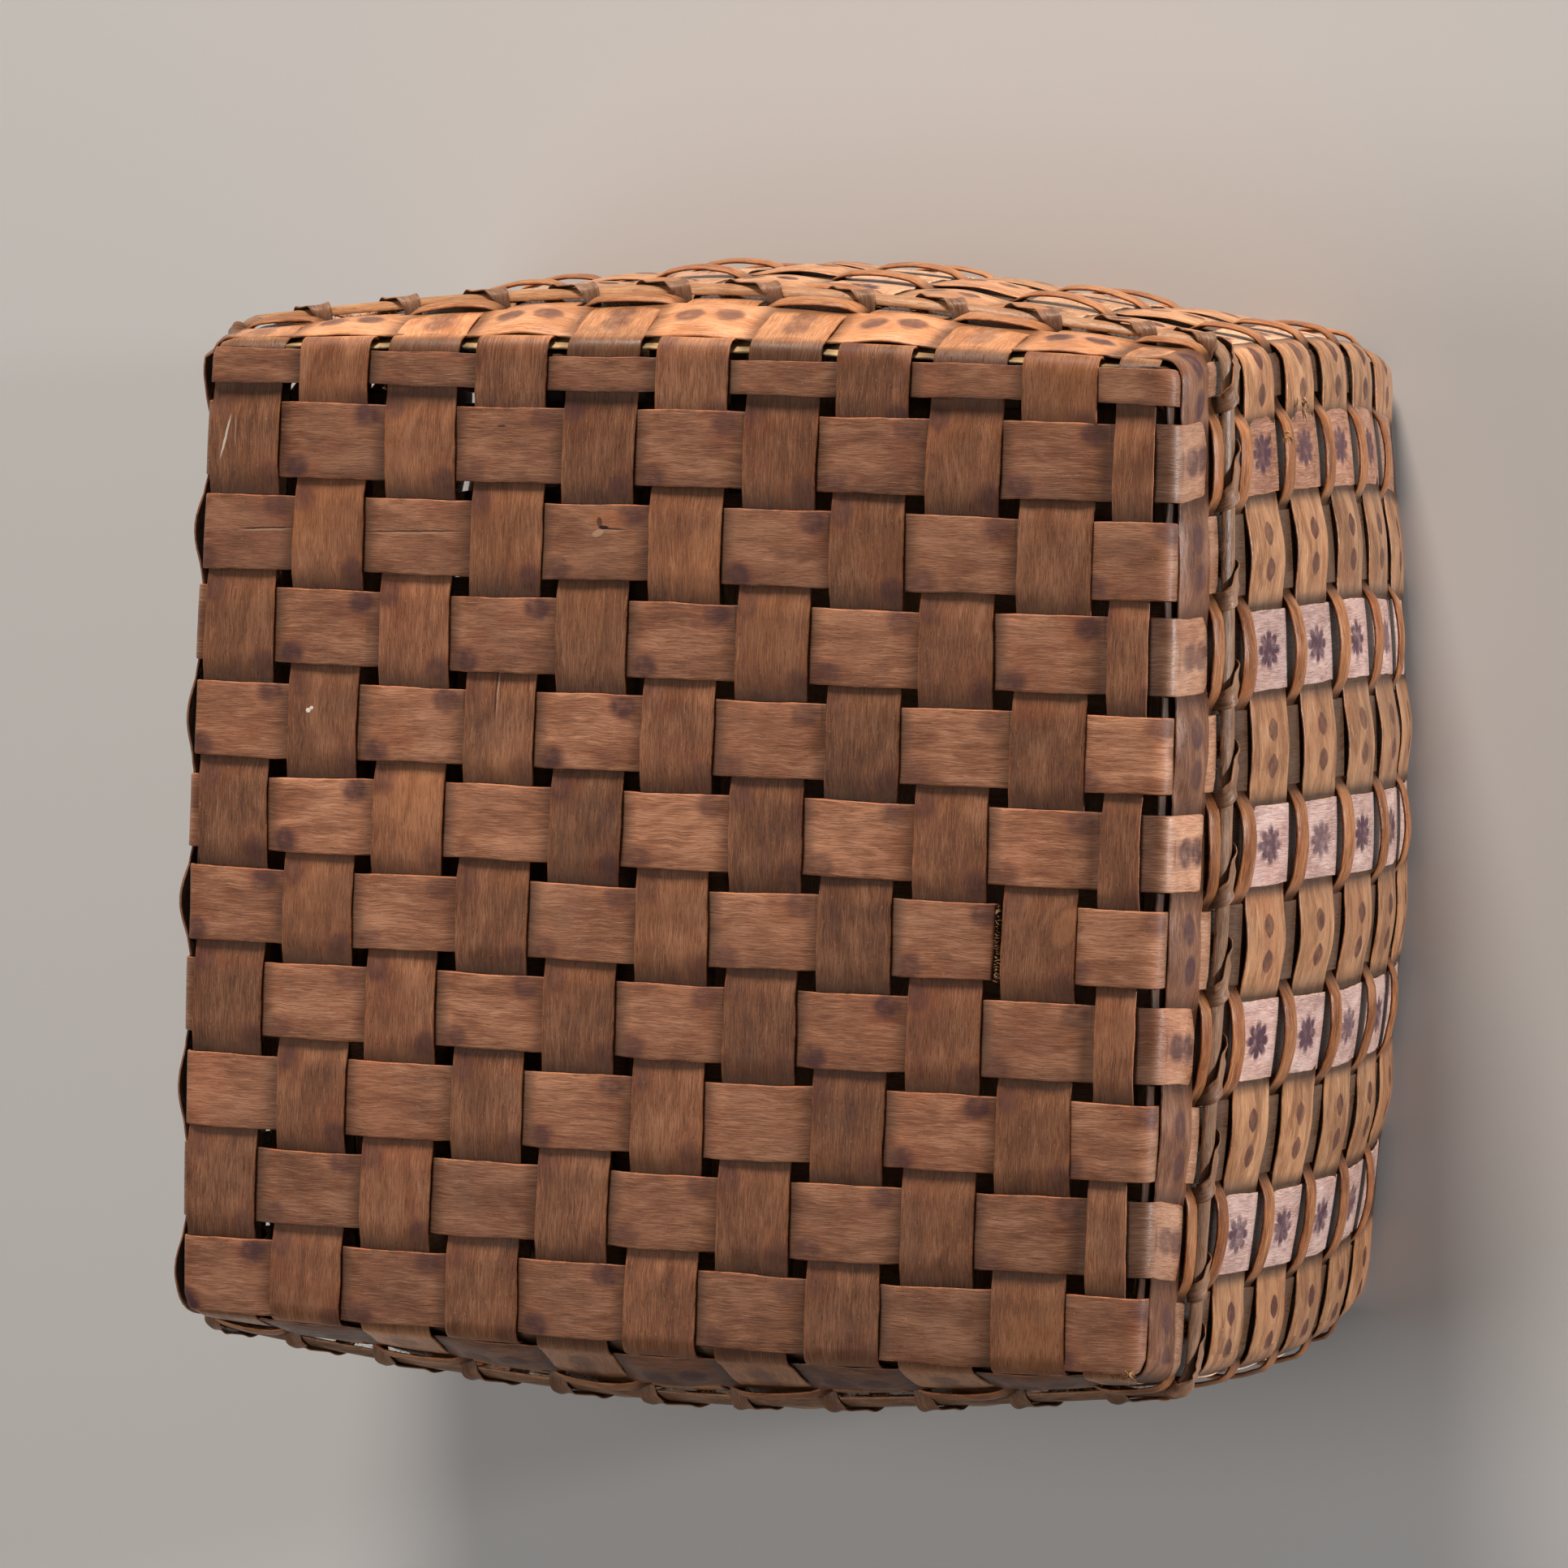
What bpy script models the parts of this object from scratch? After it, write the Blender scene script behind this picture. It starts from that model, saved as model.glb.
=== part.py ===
"""Square covered storage basket woven from flat ash splints.

The basket stands on its base with its lid on, +Z up, origin under the middle of the base.
Eleven splints run each way across the base and across the lid in plain weave, and turn into
the walls as uprights. Wide and narrow weavers go round the body by turns, one wide weaver goes
round the lid, and each rim is a pair of hoops bound with a lashing.
Every splint is a thin ribbon. The layers of a wall lie one step apart along one layer
direction at each height, so ribbons that cross never touch.
"""
import math
from collections import namedtuple

import bmesh
import bpy
from mathutils import Vector

# Driving dimensions of the whole basket
LID_LENGTH_X = 0.325
LID_LENGTH_Y = 0.319
BASE_LENGTH_X = 0.340
BASE_LENGTH_Y = 0.334
TOTAL_HEIGHT = 0.285
LID_DEPTH = 0.050

# Splints and the way they are spaced across a face
SPLINTS_ACROSS = 11
SPLINT_THICKNESS = 0.0009
WEAVE_GAP = 0.0006
SPLINT_SPACE = 0.0061
NARROW_COLUMN_WIDTH = 0.0130
NARROW_ROW_WIDTH = 0.0110
CHORD_END_SPLINTS = (2, 4, 7, 9)

# Corners and the turn from a face into a wall
LID_CORNER_RADIUS = 0.0065
BODY_CORNER_RADIUS = 0.0080
BEND_RADIUS = 0.0040
BEND_CORNER_SHARE = 0.70
MITRE_SHARE = 0.75
BOW_POWER = 1.6

# Lid walls, which spread toward the rim and bow out at mid-span
LID_START_CORNER_OUT = 0.0005
LID_START_MIDDLE_OUT = 0.0025
LID_RIM_CORNER_OUT_X = 0.0045
LID_RIM_CORNER_OUT_Y = 0.0060
LID_RIM_MIDDLE_OUT_X = 0.0095
LID_RIM_MIDDLE_OUT_Y = 0.0130

# Body walls, which belly out below the shoulder
SHOULDER_RISE = 0.0060
NECK_RISE = 0.0014
FOOT_CORNER_DRAW = 0.0020
FOOT_MIDDLE_OUT = 0.0075
SHOULDER_CORNER_OUT_X = 0.0040
SHOULDER_CORNER_OUT_Y = 0.0060
SHOULDER_MIDDLE_OUT_X = 0.0110
SHOULDER_MIDDLE_OUT_Y = 0.0170
BELLY_CORNER = 0.0050
BELLY_MIDDLE_X = 0.0100
BELLY_MIDDLE_Y = 0.0130
BELLY_POWER = 0.85

# Weavers
WEAVER_PAIRS = 5
NARROW_WEAVER_WIDTH = 0.0095
WEAVER_SPACE = 0.0010

# Rim hoops and their lashing
LID_HOOP_HEIGHT = 0.0090
BODY_HOOP_HEIGHT = 0.0140
LID_HOOP_THICKNESS = 0.0026
BODY_HOOP_THICKNESS = 0.0020
LASHING_THICKNESS = 0.0008
LASHING_WIDTH = 0.0075
LASHING_WAIST = 0.0034
LASHING_SLANT = 0.0090
LASHING_GAP = 0.0004

# Room between the lid and the neck that it drops over
SEAT_GAP = 0.0004
LIFT_CLEARANCE = 0.0010
LEDGE_OVERLAP = 0.0012

# Sizes that follow from the ones above
STEP = SPLINT_THICKNESS + WEAVE_GAP
HALF_SPLINT = SPLINT_THICKNESS / 2
FACE_HALF_BUILD = 2 * STEP + HALF_SPLINT
LID_FACE_Z = TOTAL_HEIGHT - FACE_HALF_BUILD
BASE_FACE_Z = FACE_HALF_BUILD
WALL_START_DROP = 2 * STEP + BEND_RADIUS
LASHING_BUILD = LASHING_GAP + LASHING_THICKNESS
HOOP_LIFT = STEP + HALF_SPLINT + WEAVE_GAP
LID_HOOP_LOW = TOTAL_HEIGHT - LID_DEPTH + LASHING_BUILD
LID_HOOP_HIGH = LID_HOOP_LOW + LID_HOOP_HEIGHT
SEAT_Z = TOTAL_HEIGHT - LID_DEPTH - SEAT_GAP
SHOULDER_Z = SEAT_Z - SHOULDER_RISE
NECK_Z = SEAT_Z + NECK_RISE
BODY_HOOP_LOW = NECK_Z + LASHING_GAP
BODY_HOOP_HIGH = BODY_HOOP_LOW + BODY_HOOP_HEIGHT
FOOT_Z = BASE_FACE_Z + WALL_START_DROP
PAIR_PITCH = (SHOULDER_Z - FOOT_Z) / WEAVER_PAIRS
LASHING_PASS = 2 * LASHING_GAP + LASHING_THICKNESS

# The four walls, anticlockwise from +X: the way out of each, and the way along it
OUTWARD = (Vector((1, 0, 0)), Vector((0, 1, 0)), Vector((-1, 0, 0)), Vector((0, -1, 0)))
ALONG = (Vector((0, 1, 0)), Vector((-1, 0, 0)), Vector((0, -1, 0)), Vector((1, 0, 0)))
UP = Vector((0, 0, 1))

# How much of a layer step goes outward and how much upward, on a plain wall, where the belly
# turns in to the shoulder, and at both ends of the ledge that the lid sits on
PLAIN_SHARES = (1, 0)
SHOULDER_SHARES = (0.95, 0.45)
LEDGE_SHARES = (0.60, 0.90)

Level = namedtuple("Level", "z corners middles layer")
Shell = namedtuple("Shell", "levels radius")
Station = namedtuple("Station", "left right out")


def clear_scene():
    for old in list(bpy.data.objects):
        bpy.data.objects.remove(old, do_unlink=True)


def splint_edge_shares(length, narrow_width):
    """Edges of each splint across a face, as shares of half the woven run."""
    run = length - 2 * LID_CORNER_RADIUS
    spaces = SPLINT_SPACE * (SPLINTS_ACROSS - 1)
    wide_width = (run - narrow_width - spaces) / (SPLINTS_ACROSS - 1)
    edges = []
    low = -run / 2
    for number in range(1, SPLINTS_ACROSS + 1):
        width = narrow_width if number == SPLINTS_ACROSS else wide_width
        edges.append((2 * low / run, 2 * (low + width) / run))
        low += width + SPLINT_SPACE
    return edges


# Rows are the X splints, placed along Y. Columns are the Y splints, placed along X.
ROW_SHARES = splint_edge_shares(LID_LENGTH_Y, NARROW_ROW_WIDTH)
COLUMN_SHARES = splint_edge_shares(LID_LENGTH_X, NARROW_COLUMN_WIDTH)


def wall_splints(side):
    """Splints of one wall in the order of its run: number, low share, high share."""
    edges = ROW_SHARES if side % 2 == 0 else COLUMN_SHARES
    numbered = [(number + 1, low, high) for number, (low, high) in enumerate(edges)]
    if side in (0, 3):
        return numbered
    return [(number, -high, -low) for number, low, high in reversed(numbered)]


def space_share(splints, position):
    """Middle of the space after a splint of one wall."""
    return (splints[position][2] + splints[position + 1][1]) / 2


def chord_shares(side):
    """Where the flat lengths of a bowed wall meet: in spaces between splints."""
    splints = wall_splints(side)
    reverse = side in (1, 2)
    ends = [SPLINTS_ACROSS - end for end in reversed(CHORD_END_SPLINTS)] if reverse else CHORD_END_SPLINTS
    return [-1] + [space_share(splints, end - 1) for end in ends] + [1]


def bow(side, share):
    """Share of the mid-span bow at one place, straight between the ends of a chord."""
    ends = chord_shares(side)
    heights = [1 - abs(end) ** BOW_POWER for end in ends]
    for start in range(len(ends) - 1):
        if share <= ends[start + 1] or start == len(ends) - 2:
            part = (share - ends[start]) / (ends[start + 1] - ends[start])
            return heights[start] + (heights[start + 1] - heights[start]) * part


def lid_shell():
    halves = (LID_LENGTH_X / 2, LID_LENGTH_Y / 2)
    start_corners = [half + LID_START_CORNER_OUT for half in halves]
    start_middles = [half + LID_START_MIDDLE_OUT for half in halves]
    corners = (halves[0] + LID_RIM_CORNER_OUT_X, halves[1] + LID_RIM_CORNER_OUT_Y)
    middles = (halves[0] + LID_RIM_MIDDLE_OUT_X, halves[1] + LID_RIM_MIDDLE_OUT_Y)
    rim = Level(LID_HOOP_LOW, corners, middles, PLAIN_SHARES)
    start = Level(LID_FACE_Z - WALL_START_DROP, start_corners, start_middles, PLAIN_SHARES)
    return Shell([rim, start], LID_CORNER_RADIUS)


LID_SHELL = lid_shell()


def blend(low, high, part):
    return [start + (end - start) * part for start, end in zip(low, high)]


def level_at(shell, z):
    """The wall's halves and layer direction at one height."""
    levels = shell.levels
    for low, high in zip(levels, levels[1:]):
        if z <= high.z or high is levels[-1]:
            part = (z - low.z) / (high.z - low.z)
            corners = blend(low.corners, high.corners, part)
            middles = blend(low.middles, high.middles, part)
            return Level(z, corners, middles, blend(low.layer, high.layer, part))


def belly_level(z, layer):
    rise = (z - FOOT_Z) / (SHOULDER_Z - FOOT_Z)
    swell = math.sin(math.pi * rise ** BELLY_POWER) if rise > 0 else 0
    lid_halves = (LID_LENGTH_X / 2, LID_LENGTH_Y / 2)
    base_halves = (BASE_LENGTH_X / 2, BASE_LENGTH_Y / 2)
    corner_outs = (SHOULDER_CORNER_OUT_X, SHOULDER_CORNER_OUT_Y)
    middle_outs = (SHOULDER_MIDDLE_OUT_X, SHOULDER_MIDDLE_OUT_Y)
    bellies = (BELLY_MIDDLE_X, BELLY_MIDDLE_Y)
    corners = []
    middles = []
    for axis in (0, 1):
        foot = base_halves[axis] - FOOT_CORNER_DRAW
        top = lid_halves[axis] + corner_outs[axis]
        corners.append(foot + (top - foot) * rise + BELLY_CORNER * swell)
        foot = base_halves[axis] + FOOT_MIDDLE_OUT
        top = lid_halves[axis] + middle_outs[axis]
        middles.append(foot + (top - foot) * rise + bellies[axis] * swell)
    return Level(z, corners, middles, layer)


def drawn_in(level, z, depth, layer):
    """The outline of one level, taken in all round, at another height."""
    corners = [corner - depth for corner in level.corners]
    middles = [middle - depth for middle in level.middles]
    return Level(z, corners, middles, layer)


def body_shell():
    """Wall of the body from its foot, over the shoulder, to the rim inside the lid."""
    levels = [belly_level(FOOT_Z + PAIR_PITCH * pair, PLAIN_SHARES) for pair in range(WEAVER_PAIRS)]
    levels.append(belly_level(SHOULDER_Z, SHOULDER_SHARES))
    lid_rim = level_at(LID_SHELL, BODY_HOOP_LOW)
    lid_above = level_at(LID_SHELL, BODY_HOOP_HIGH)
    lid_bore = HOOP_LIFT + LID_HOOP_THICKNESS + LASHING_BUILD
    ledge = lid_bore - LEDGE_OVERLAP
    neck = lid_bore + LIFT_CLEARANCE + LASHING_BUILD + BODY_HOOP_THICKNESS + HOOP_LIFT
    layer_rise = (STEP + HALF_SPLINT) * LEDGE_SHARES[1]
    levels.append(drawn_in(lid_rim, SEAT_Z - layer_rise, ledge, LEDGE_SHARES))
    levels.append(drawn_in(lid_rim, NECK_Z - layer_rise, neck, LEDGE_SHARES))
    levels.append(drawn_in(lid_rim, BODY_HOOP_LOW, neck, PLAIN_SHARES))
    levels.append(drawn_in(lid_above, BODY_HOOP_HIGH, neck, PLAIN_SHARES))
    return Shell(levels, BODY_CORNER_RADIUS)


BODY_SHELL = body_shell()


def wall_run(shell, side, z):
    """Half of a wall's run, from its middle to where the corner starts to turn."""
    return level_at(shell, z).corners[1 - side % 2] - shell.radius


def layer_way(shell, side, z):
    out, up = level_at(shell, z).layer
    return OUTWARD[side] * out + UP * up


def wall_point(shell, side, share, z, lift):
    level = level_at(shell, z)
    corner = level.corners[side % 2]
    out = corner + (level.middles[side % 2] - corner) * bow(side, share)
    place = OUTWARD[side] * out + ALONG[side] * (wall_run(shell, side, z) * share) + UP * z
    return place + layer_way(shell, side, z) * lift


def corner_point(shell, side, z, lift):
    """Middle of the rounded corner that follows a wall."""
    following = (side + 1) % 4
    turn = math.sin(math.pi / 4) * shell.radius
    out = wall_run(shell, following, z) + turn + MITRE_SHARE * lift
    along = wall_run(shell, side, z) + turn + MITRE_SHARE * lift
    return OUTWARD[side] * out + OUTWARD[following] * along + UP * z


def corner_station(shell, side, low, high, lift):
    out = (OUTWARD[side] + OUTWARD[(side + 1) % 4]) * MITRE_SHARE
    return Station(corner_point(shell, side, low, lift), corner_point(shell, side, high, lift), out)


def ring_station(shell, side, share, low, high, lift):
    left = wall_point(shell, side, share, low, lift)
    return Station(left, wall_point(shell, side, share, high, lift), OUTWARD[side])


def upright_station(shell, side, low, high, z, lift):
    left = wall_point(shell, side, low, z, lift)
    return Station(left, wall_point(shell, side, high, z, lift), layer_way(shell, side, z))


def make_material(name, colour, roughness):
    material = bpy.data.materials.new(name)
    material.use_nodes = True
    shader = material.node_tree.nodes["Principled BSDF"]
    shader.inputs["Base Color"].default_value = (*colour, 1)
    shader.inputs["Roughness"].default_value = roughness
    shader.inputs["Metallic"].default_value = 0
    return material


def split_outward(mesh, quad, out):
    """Two triangles of a quad, folded along the diagonal that stands further out."""
    first = (quad[0].co + quad[2].co) / 2
    second = (quad[1].co + quad[3].co) / 2
    if (first - second).dot(out) >= 0:
        mesh.faces.new((quad[0], quad[1], quad[2]))
        mesh.faces.new((quad[0], quad[2], quad[3]))
    else:
        mesh.faces.new((quad[1], quad[2], quad[3]))
        mesh.faces.new((quad[1], quad[3], quad[0]))


def ribbon(name, stations, thickness, closed, material, parent):
    """A flat strip through the stations, as a thin closed solid."""
    mesh = bmesh.new()
    rings = []
    for station in stations:
        outer = station.out * (thickness / 2)
        corners = (station.left + outer, station.right + outer, station.right - outer, station.left - outer)
        rings.append([mesh.verts.new(corner - parent.location) for corner in corners])
    followers = rings[1:] + rings[:1] if closed else rings[1:]
    for index, (here, there) in enumerate(zip(rings, followers)):
        out = stations[index].out + stations[(index + 1) % len(stations)].out
        split_outward(mesh, (here[0], here[1], there[1], there[0]), out)
        split_outward(mesh, (here[3], here[2], there[2], there[3]), out)
        mesh.faces.new((here[1], here[2], there[2], there[1]))
        mesh.faces.new((here[3], here[0], there[0], there[3]))
    if not closed:
        mesh.faces.new(rings[0])
        mesh.faces.new(list(reversed(rings[-1])))
    bmesh.ops.recalc_face_normals(mesh, faces=mesh.faces)
    data = bpy.data.meshes.new(name)
    mesh.to_mesh(data)
    mesh.free()
    data.materials.append(material)
    piece = bpy.data.objects.new(name, data)
    piece.parent = parent
    bpy.context.collection.objects.link(piece)


def frame_empty(name, location):
    empty = bpy.data.objects.new(name, None)
    empty.location = location
    bpy.context.collection.objects.link(empty)
    return empty


def upright_layer(side, number):
    """An upright lies one step outside the wide weavers or one step inside them."""
    outside_when_odd = side % 2 == 1
    return 1 if (number % 2 == 1) == outside_when_odd else -1


def bend_station(shell, side, low, high, flat, wall_z, wall_lift, face_way):
    """Middle of the turn between the flat of a face and a wall."""
    wall = upright_station(shell, side, low, high, wall_z, wall_lift)
    points = []
    for flat_point, wall_point_here in ((flat.left, wall.left), (flat.right, wall.right)):
        corner = wall_point_here.copy()
        corner.z = flat_point.z
        chord = (flat_point + wall_point_here) / 2
        points.append(chord.lerp(corner, BEND_CORNER_SHARE / 2))
    out = (OUTWARD[side] + UP * face_way) * MITRE_SHARE
    return Station(points[0], points[1], out)


def face_station(shell, side, low, high, wall_z, distance, z, face_way):
    """Cross-section of a splint on a face, at a distance from the middle toward a side."""
    run = wall_run(shell, side, wall_z)
    centre = OUTWARD[side] * distance + UP * z
    return Station(centre + ALONG[side] * (run * low), centre + ALONG[side] * (run * high), UP * face_way)


def face_layers(axis, number):
    """Layer of a splint over each crossing splint, counted out from the middle of the face.

    Odd rows lie one step out and even rows one step in. Odd columns stay in the middle and so
    pass under odd rows and over even ones. Even columns do the opposite, two steps out and in.
    """
    if axis == 0:
        return [1 if number % 2 == 1 else -1] * SPLINTS_ACROSS
    if number % 2 == 1:
        return [0] * SPLINTS_ACROSS
    return [2 if crossing % 2 == 1 else -2 for crossing in range(1, SPLINTS_ACROSS + 1)]


def woven_splint(shell, face_z, face_way, wall_heights, axis, number):
    """Stations of one splint: up or down one wall, across the face and along the far wall.

    The axis is 0 for a row, which runs along X, and 1 for a column, which runs along Y.
    """
    near, far = (2, 0) if axis == 0 else (3, 1)
    wall_z = wall_heights[-1]
    layers = face_layers(axis, number)
    crossing_shares = COLUMN_SHARES if axis == 0 else ROW_SHARES
    half_run = wall_run(shell, 1 if axis == 0 else 0, wall_z)
    splint = {entry[0]: entry for entry in wall_splints(far)}[number]
    near_splint = {entry[0]: entry for entry in wall_splints(near)}[number]
    flats = []
    for crossing, (low, high) in enumerate(crossing_shares):
        level = face_z + face_way * layers[crossing] * STEP
        last = len(crossing_shares) - 1
        turns = layers[0] != layers[1]
        if crossing == 0 or turns:
            start = low * half_run - (WEAVE_GAP if crossing == 0 else 0)
            flats.append((start, level))
        if crossing == last or turns:
            end = high * half_run + (WEAVE_GAP if crossing == last else 0)
            flats.append((end, level))
    across = [
        face_station(shell, far, splint[1], splint[2], wall_z, distance, z, face_way) for distance, z in flats
    ]
    lift = upright_layer(far, number) * STEP
    start_bend = mirrored_bend(shell, near, near_splint, across[0], wall_z, lift, face_way)
    end_bend = bend_station(shell, far, splint[1], splint[2], across[-1], wall_z, lift, face_way)
    start_wall = [swapped(upright_station(shell, near, near_splint[1], near_splint[2], z, lift))
                  for z in wall_heights]
    end_wall = [upright_station(shell, far, splint[1], splint[2], z, lift) for z in reversed(wall_heights)]
    return start_wall + [start_bend] + across + [end_bend] + end_wall


def swapped(station):
    return Station(station.right, station.left, station.out)


def mirrored_bend(shell, side, splint, flat, wall_z, lift, face_way):
    turned = bend_station(shell, side, splint[1], splint[2], swapped(flat), wall_z, lift, face_way)
    return swapped(turned)


def wide_ring(shell, low, high, lift):
    """Stations of a band that goes round the four walls in one layer."""
    stations = []
    for side in range(4):
        for share in chord_shares(side):
            stations.append(ring_station(shell, side, share, low, high, lift))
        stations.append(corner_station(shell, side, low, high, lift))
    return stations


def narrow_ring(shell, low, high):
    """Stations of a weaver that bows out over one upright and in behind the next."""
    stations = []
    for side in range(4):
        for number, start, end in wall_splints(side):
            lift = 2 * STEP * upright_layer(side, number)
            stations.append(ring_station(shell, side, start, low, high, lift))
            stations.append(ring_station(shell, side, end, low, high, lift))
        stations.append(corner_station(shell, side, low, high, 0))
    return stations


def lashing_station(shell, side, share, half_width, z, lift, out):
    half_share = half_width / wall_run(shell, side, z)
    left = wall_point(shell, side, share - half_share, z, lift)
    right = wall_point(shell, side, share + half_share, z, lift)
    return Station(left, right, out * MITRE_SHARE)


def corner_lashing_station(shell, side, half_width, z, lift, edge_way):
    """Cross-section of the wrap at a corner, drawn in where it lies in the angle inside."""
    following = (side + 1) % 4
    tangent = (OUTWARD[following] - OUTWARD[side]).normalized()
    centre = corner_point(shell, side, z, lift)
    diagonal = (OUTWARD[side] + OUTWARD[following]).normalized()
    if lift < 0:
        centre -= diagonal * half_width
    out = (diagonal * math.copysign(1, lift) + edge_way) * MITRE_SHARE
    return Station(centre - tangent * half_width, centre + tangent * half_width, out)


def lid_lashing():
    """One strip wound round both hoops of the lid, slanting over the outer one.

    It goes round the hoops' free lower edges and, above them, through the spaces between
    uprights, where it is drawn in to its waist.
    """
    shell = LID_SHELL
    lift = HOOP_LIFT + LID_HOOP_THICKNESS + LASHING_GAP + LASHING_THICKNESS / 2
    beyond = LASHING_GAP + LASHING_THICKNESS / 2
    free_z = LID_HOOP_LOW - beyond
    pass_z = LID_HOOP_HIGH + beyond
    stations = []
    for side in range(4):
        splints = wall_splints(side)
        run = wall_run(shell, side, pass_z)
        outside = OUTWARD[side]
        for position in range(SPLINTS_ACROSS - 1):
            share = space_share(splints, position)
            slanted = share - LASHING_SLANT / run
            stations.append(lashing_station(
                shell, side, slanted, LASHING_WIDTH / 2, free_z, -lift, -UP - outside))
            stations.append(lashing_station(
                shell, side, slanted, LASHING_WIDTH / 2, free_z, lift, outside - UP))
            stations.append(lashing_station(
                shell, side, share, LASHING_WAIST / 2, pass_z, lift, outside + UP))
            stations.append(lashing_station(
                shell, side, share, LASHING_WAIST / 2, pass_z, -lift, UP - outside))
        waist = LASHING_WAIST / 2
        stations.append(corner_lashing_station(shell, side, waist, free_z, -lift, -UP))
        stations.append(corner_lashing_station(shell, side, waist, free_z, lift, -UP))
        stations.append(corner_lashing_station(shell, side, waist, pass_z, lift, UP))
        stations.append(corner_lashing_station(shell, side, waist, pass_z, -lift, UP))
    return stations


def make_splints(prefix, shell, face_z, face_way, wall_heights, materials, parent):
    for axis, letter in ((0, "x"), (1, "y")):
        for number in range(1, SPLINTS_ACROSS + 1):
            stations = woven_splint(shell, face_z, face_way, wall_heights, axis, number)
            name = f"{prefix}_splint_{letter}{number:02d}"
            ribbon(name, stations, SPLINT_THICKNESS, False, materials[axis], parent)


def make_hoops(prefix, shell, low, high, thickness, material, parent):
    lift = HOOP_LIFT + thickness / 2
    ribbon(f"{prefix}_outer_hoop", wide_ring(shell, low, high, lift), thickness, True, material, parent)
    ribbon(f"{prefix}_inner_hoop", wide_ring(shell, low, high, -lift), thickness, True, material, parent)


def make_body(parent):
    rows = make_material("ash_body_rows", (0.34, 0.19, 0.10), 0.55)
    columns = make_material("ash_body_columns", (0.32, 0.17, 0.09), 0.55)
    wide = make_material("ash_wide_weavers", (0.42, 0.24, 0.12), 0.50)
    narrow = make_material("ash_narrow_weavers", (0.38, 0.20, 0.10), 0.45)
    hoop = make_material("ash_body_hoops", (0.36, 0.20, 0.11), 0.50)
    heights = [level.z for level in reversed(BODY_SHELL.levels)]
    make_splints("body", BODY_SHELL, BASE_FACE_Z, -1, heights, (rows, columns), parent)
    for pair in range(WEAVER_PAIRS):
        low = FOOT_Z + PAIR_PITCH * pair + WEAVER_SPACE / 2
        high = FOOT_Z + PAIR_PITCH * (pair + 1) - WEAVER_SPACE / 2
        split = high - NARROW_WEAVER_WIDTH
        band = wide_ring(BODY_SHELL, low, split - WEAVER_SPACE, 0)
        ribbon(f"body_wide_weaver_{pair + 1}", band, SPLINT_THICKNESS, True, wide, parent)
        band = narrow_ring(BODY_SHELL, split, high)
        ribbon(f"body_narrow_weaver_{pair + 1}", band, SPLINT_THICKNESS, True, narrow, parent)
    make_hoops("body", BODY_SHELL, BODY_HOOP_LOW, BODY_HOOP_HIGH, BODY_HOOP_THICKNESS, hoop, parent)


def make_lid(parent):
    rows = make_material("ash_lid_rows", (0.27, 0.14, 0.07), 0.55)
    columns = make_material("ash_lid_columns", (0.25, 0.13, 0.065), 0.55)
    weaver = make_material("ash_lid_weaver", (0.45, 0.24, 0.11), 0.45)
    hoop = make_material("ash_lid_hoops", (0.42, 0.24, 0.13), 0.45)
    binding = make_material("ash_lid_lashing", (0.32, 0.16, 0.08), 0.45)
    heights = [level.z for level in LID_SHELL.levels]
    make_splints("lid", LID_SHELL, LID_FACE_Z, 1, heights, (rows, columns), parent)
    low = LID_HOOP_HIGH + LASHING_PASS
    high = LID_FACE_Z - WALL_START_DROP - WEAVE_GAP
    ribbon("lid_side_weaver", wide_ring(LID_SHELL, low, high, 0), SPLINT_THICKNESS, True, weaver, parent)
    make_hoops("lid", LID_SHELL, LID_HOOP_LOW, LID_HOOP_HIGH, LID_HOOP_THICKNESS, hoop, parent)
    ribbon("lid_lashing", lid_lashing(), LASHING_THICKNESS, True, binding, parent)


clear_scene()
basket_frame = frame_empty("basket_frame", Vector((0, 0, 0)))
lid_frame = frame_empty("lid_frame", Vector((0, 0, TOTAL_HEIGHT - LID_DEPTH)))
make_body(basket_frame)
make_lid(lid_frame)
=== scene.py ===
"""A black ash splint basket standing on its base with its lid on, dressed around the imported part."""

import math

import bpy
import numpy as np
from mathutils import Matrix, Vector


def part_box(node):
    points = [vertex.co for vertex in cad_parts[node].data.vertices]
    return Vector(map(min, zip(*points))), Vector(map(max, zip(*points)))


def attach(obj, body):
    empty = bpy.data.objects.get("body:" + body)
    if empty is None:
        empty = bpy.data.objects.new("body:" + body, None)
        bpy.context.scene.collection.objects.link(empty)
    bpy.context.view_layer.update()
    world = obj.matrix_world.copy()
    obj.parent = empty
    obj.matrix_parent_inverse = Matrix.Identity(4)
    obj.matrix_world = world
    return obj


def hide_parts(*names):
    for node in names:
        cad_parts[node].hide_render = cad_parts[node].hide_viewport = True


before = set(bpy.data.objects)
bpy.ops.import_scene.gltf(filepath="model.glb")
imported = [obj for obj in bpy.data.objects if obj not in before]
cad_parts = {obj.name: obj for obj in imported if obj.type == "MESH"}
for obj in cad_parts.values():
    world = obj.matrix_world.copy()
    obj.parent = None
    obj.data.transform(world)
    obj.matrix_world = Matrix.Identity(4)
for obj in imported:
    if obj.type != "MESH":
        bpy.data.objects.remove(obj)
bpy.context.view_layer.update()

# Camera, floor and light
# The basket stands on a pale floor. The camera looks steeply down on the lid, a little from its +X side,
# with the lid's +Y edge at the top of the picture; the main lamp grazes the lid from the +Y side.

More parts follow.
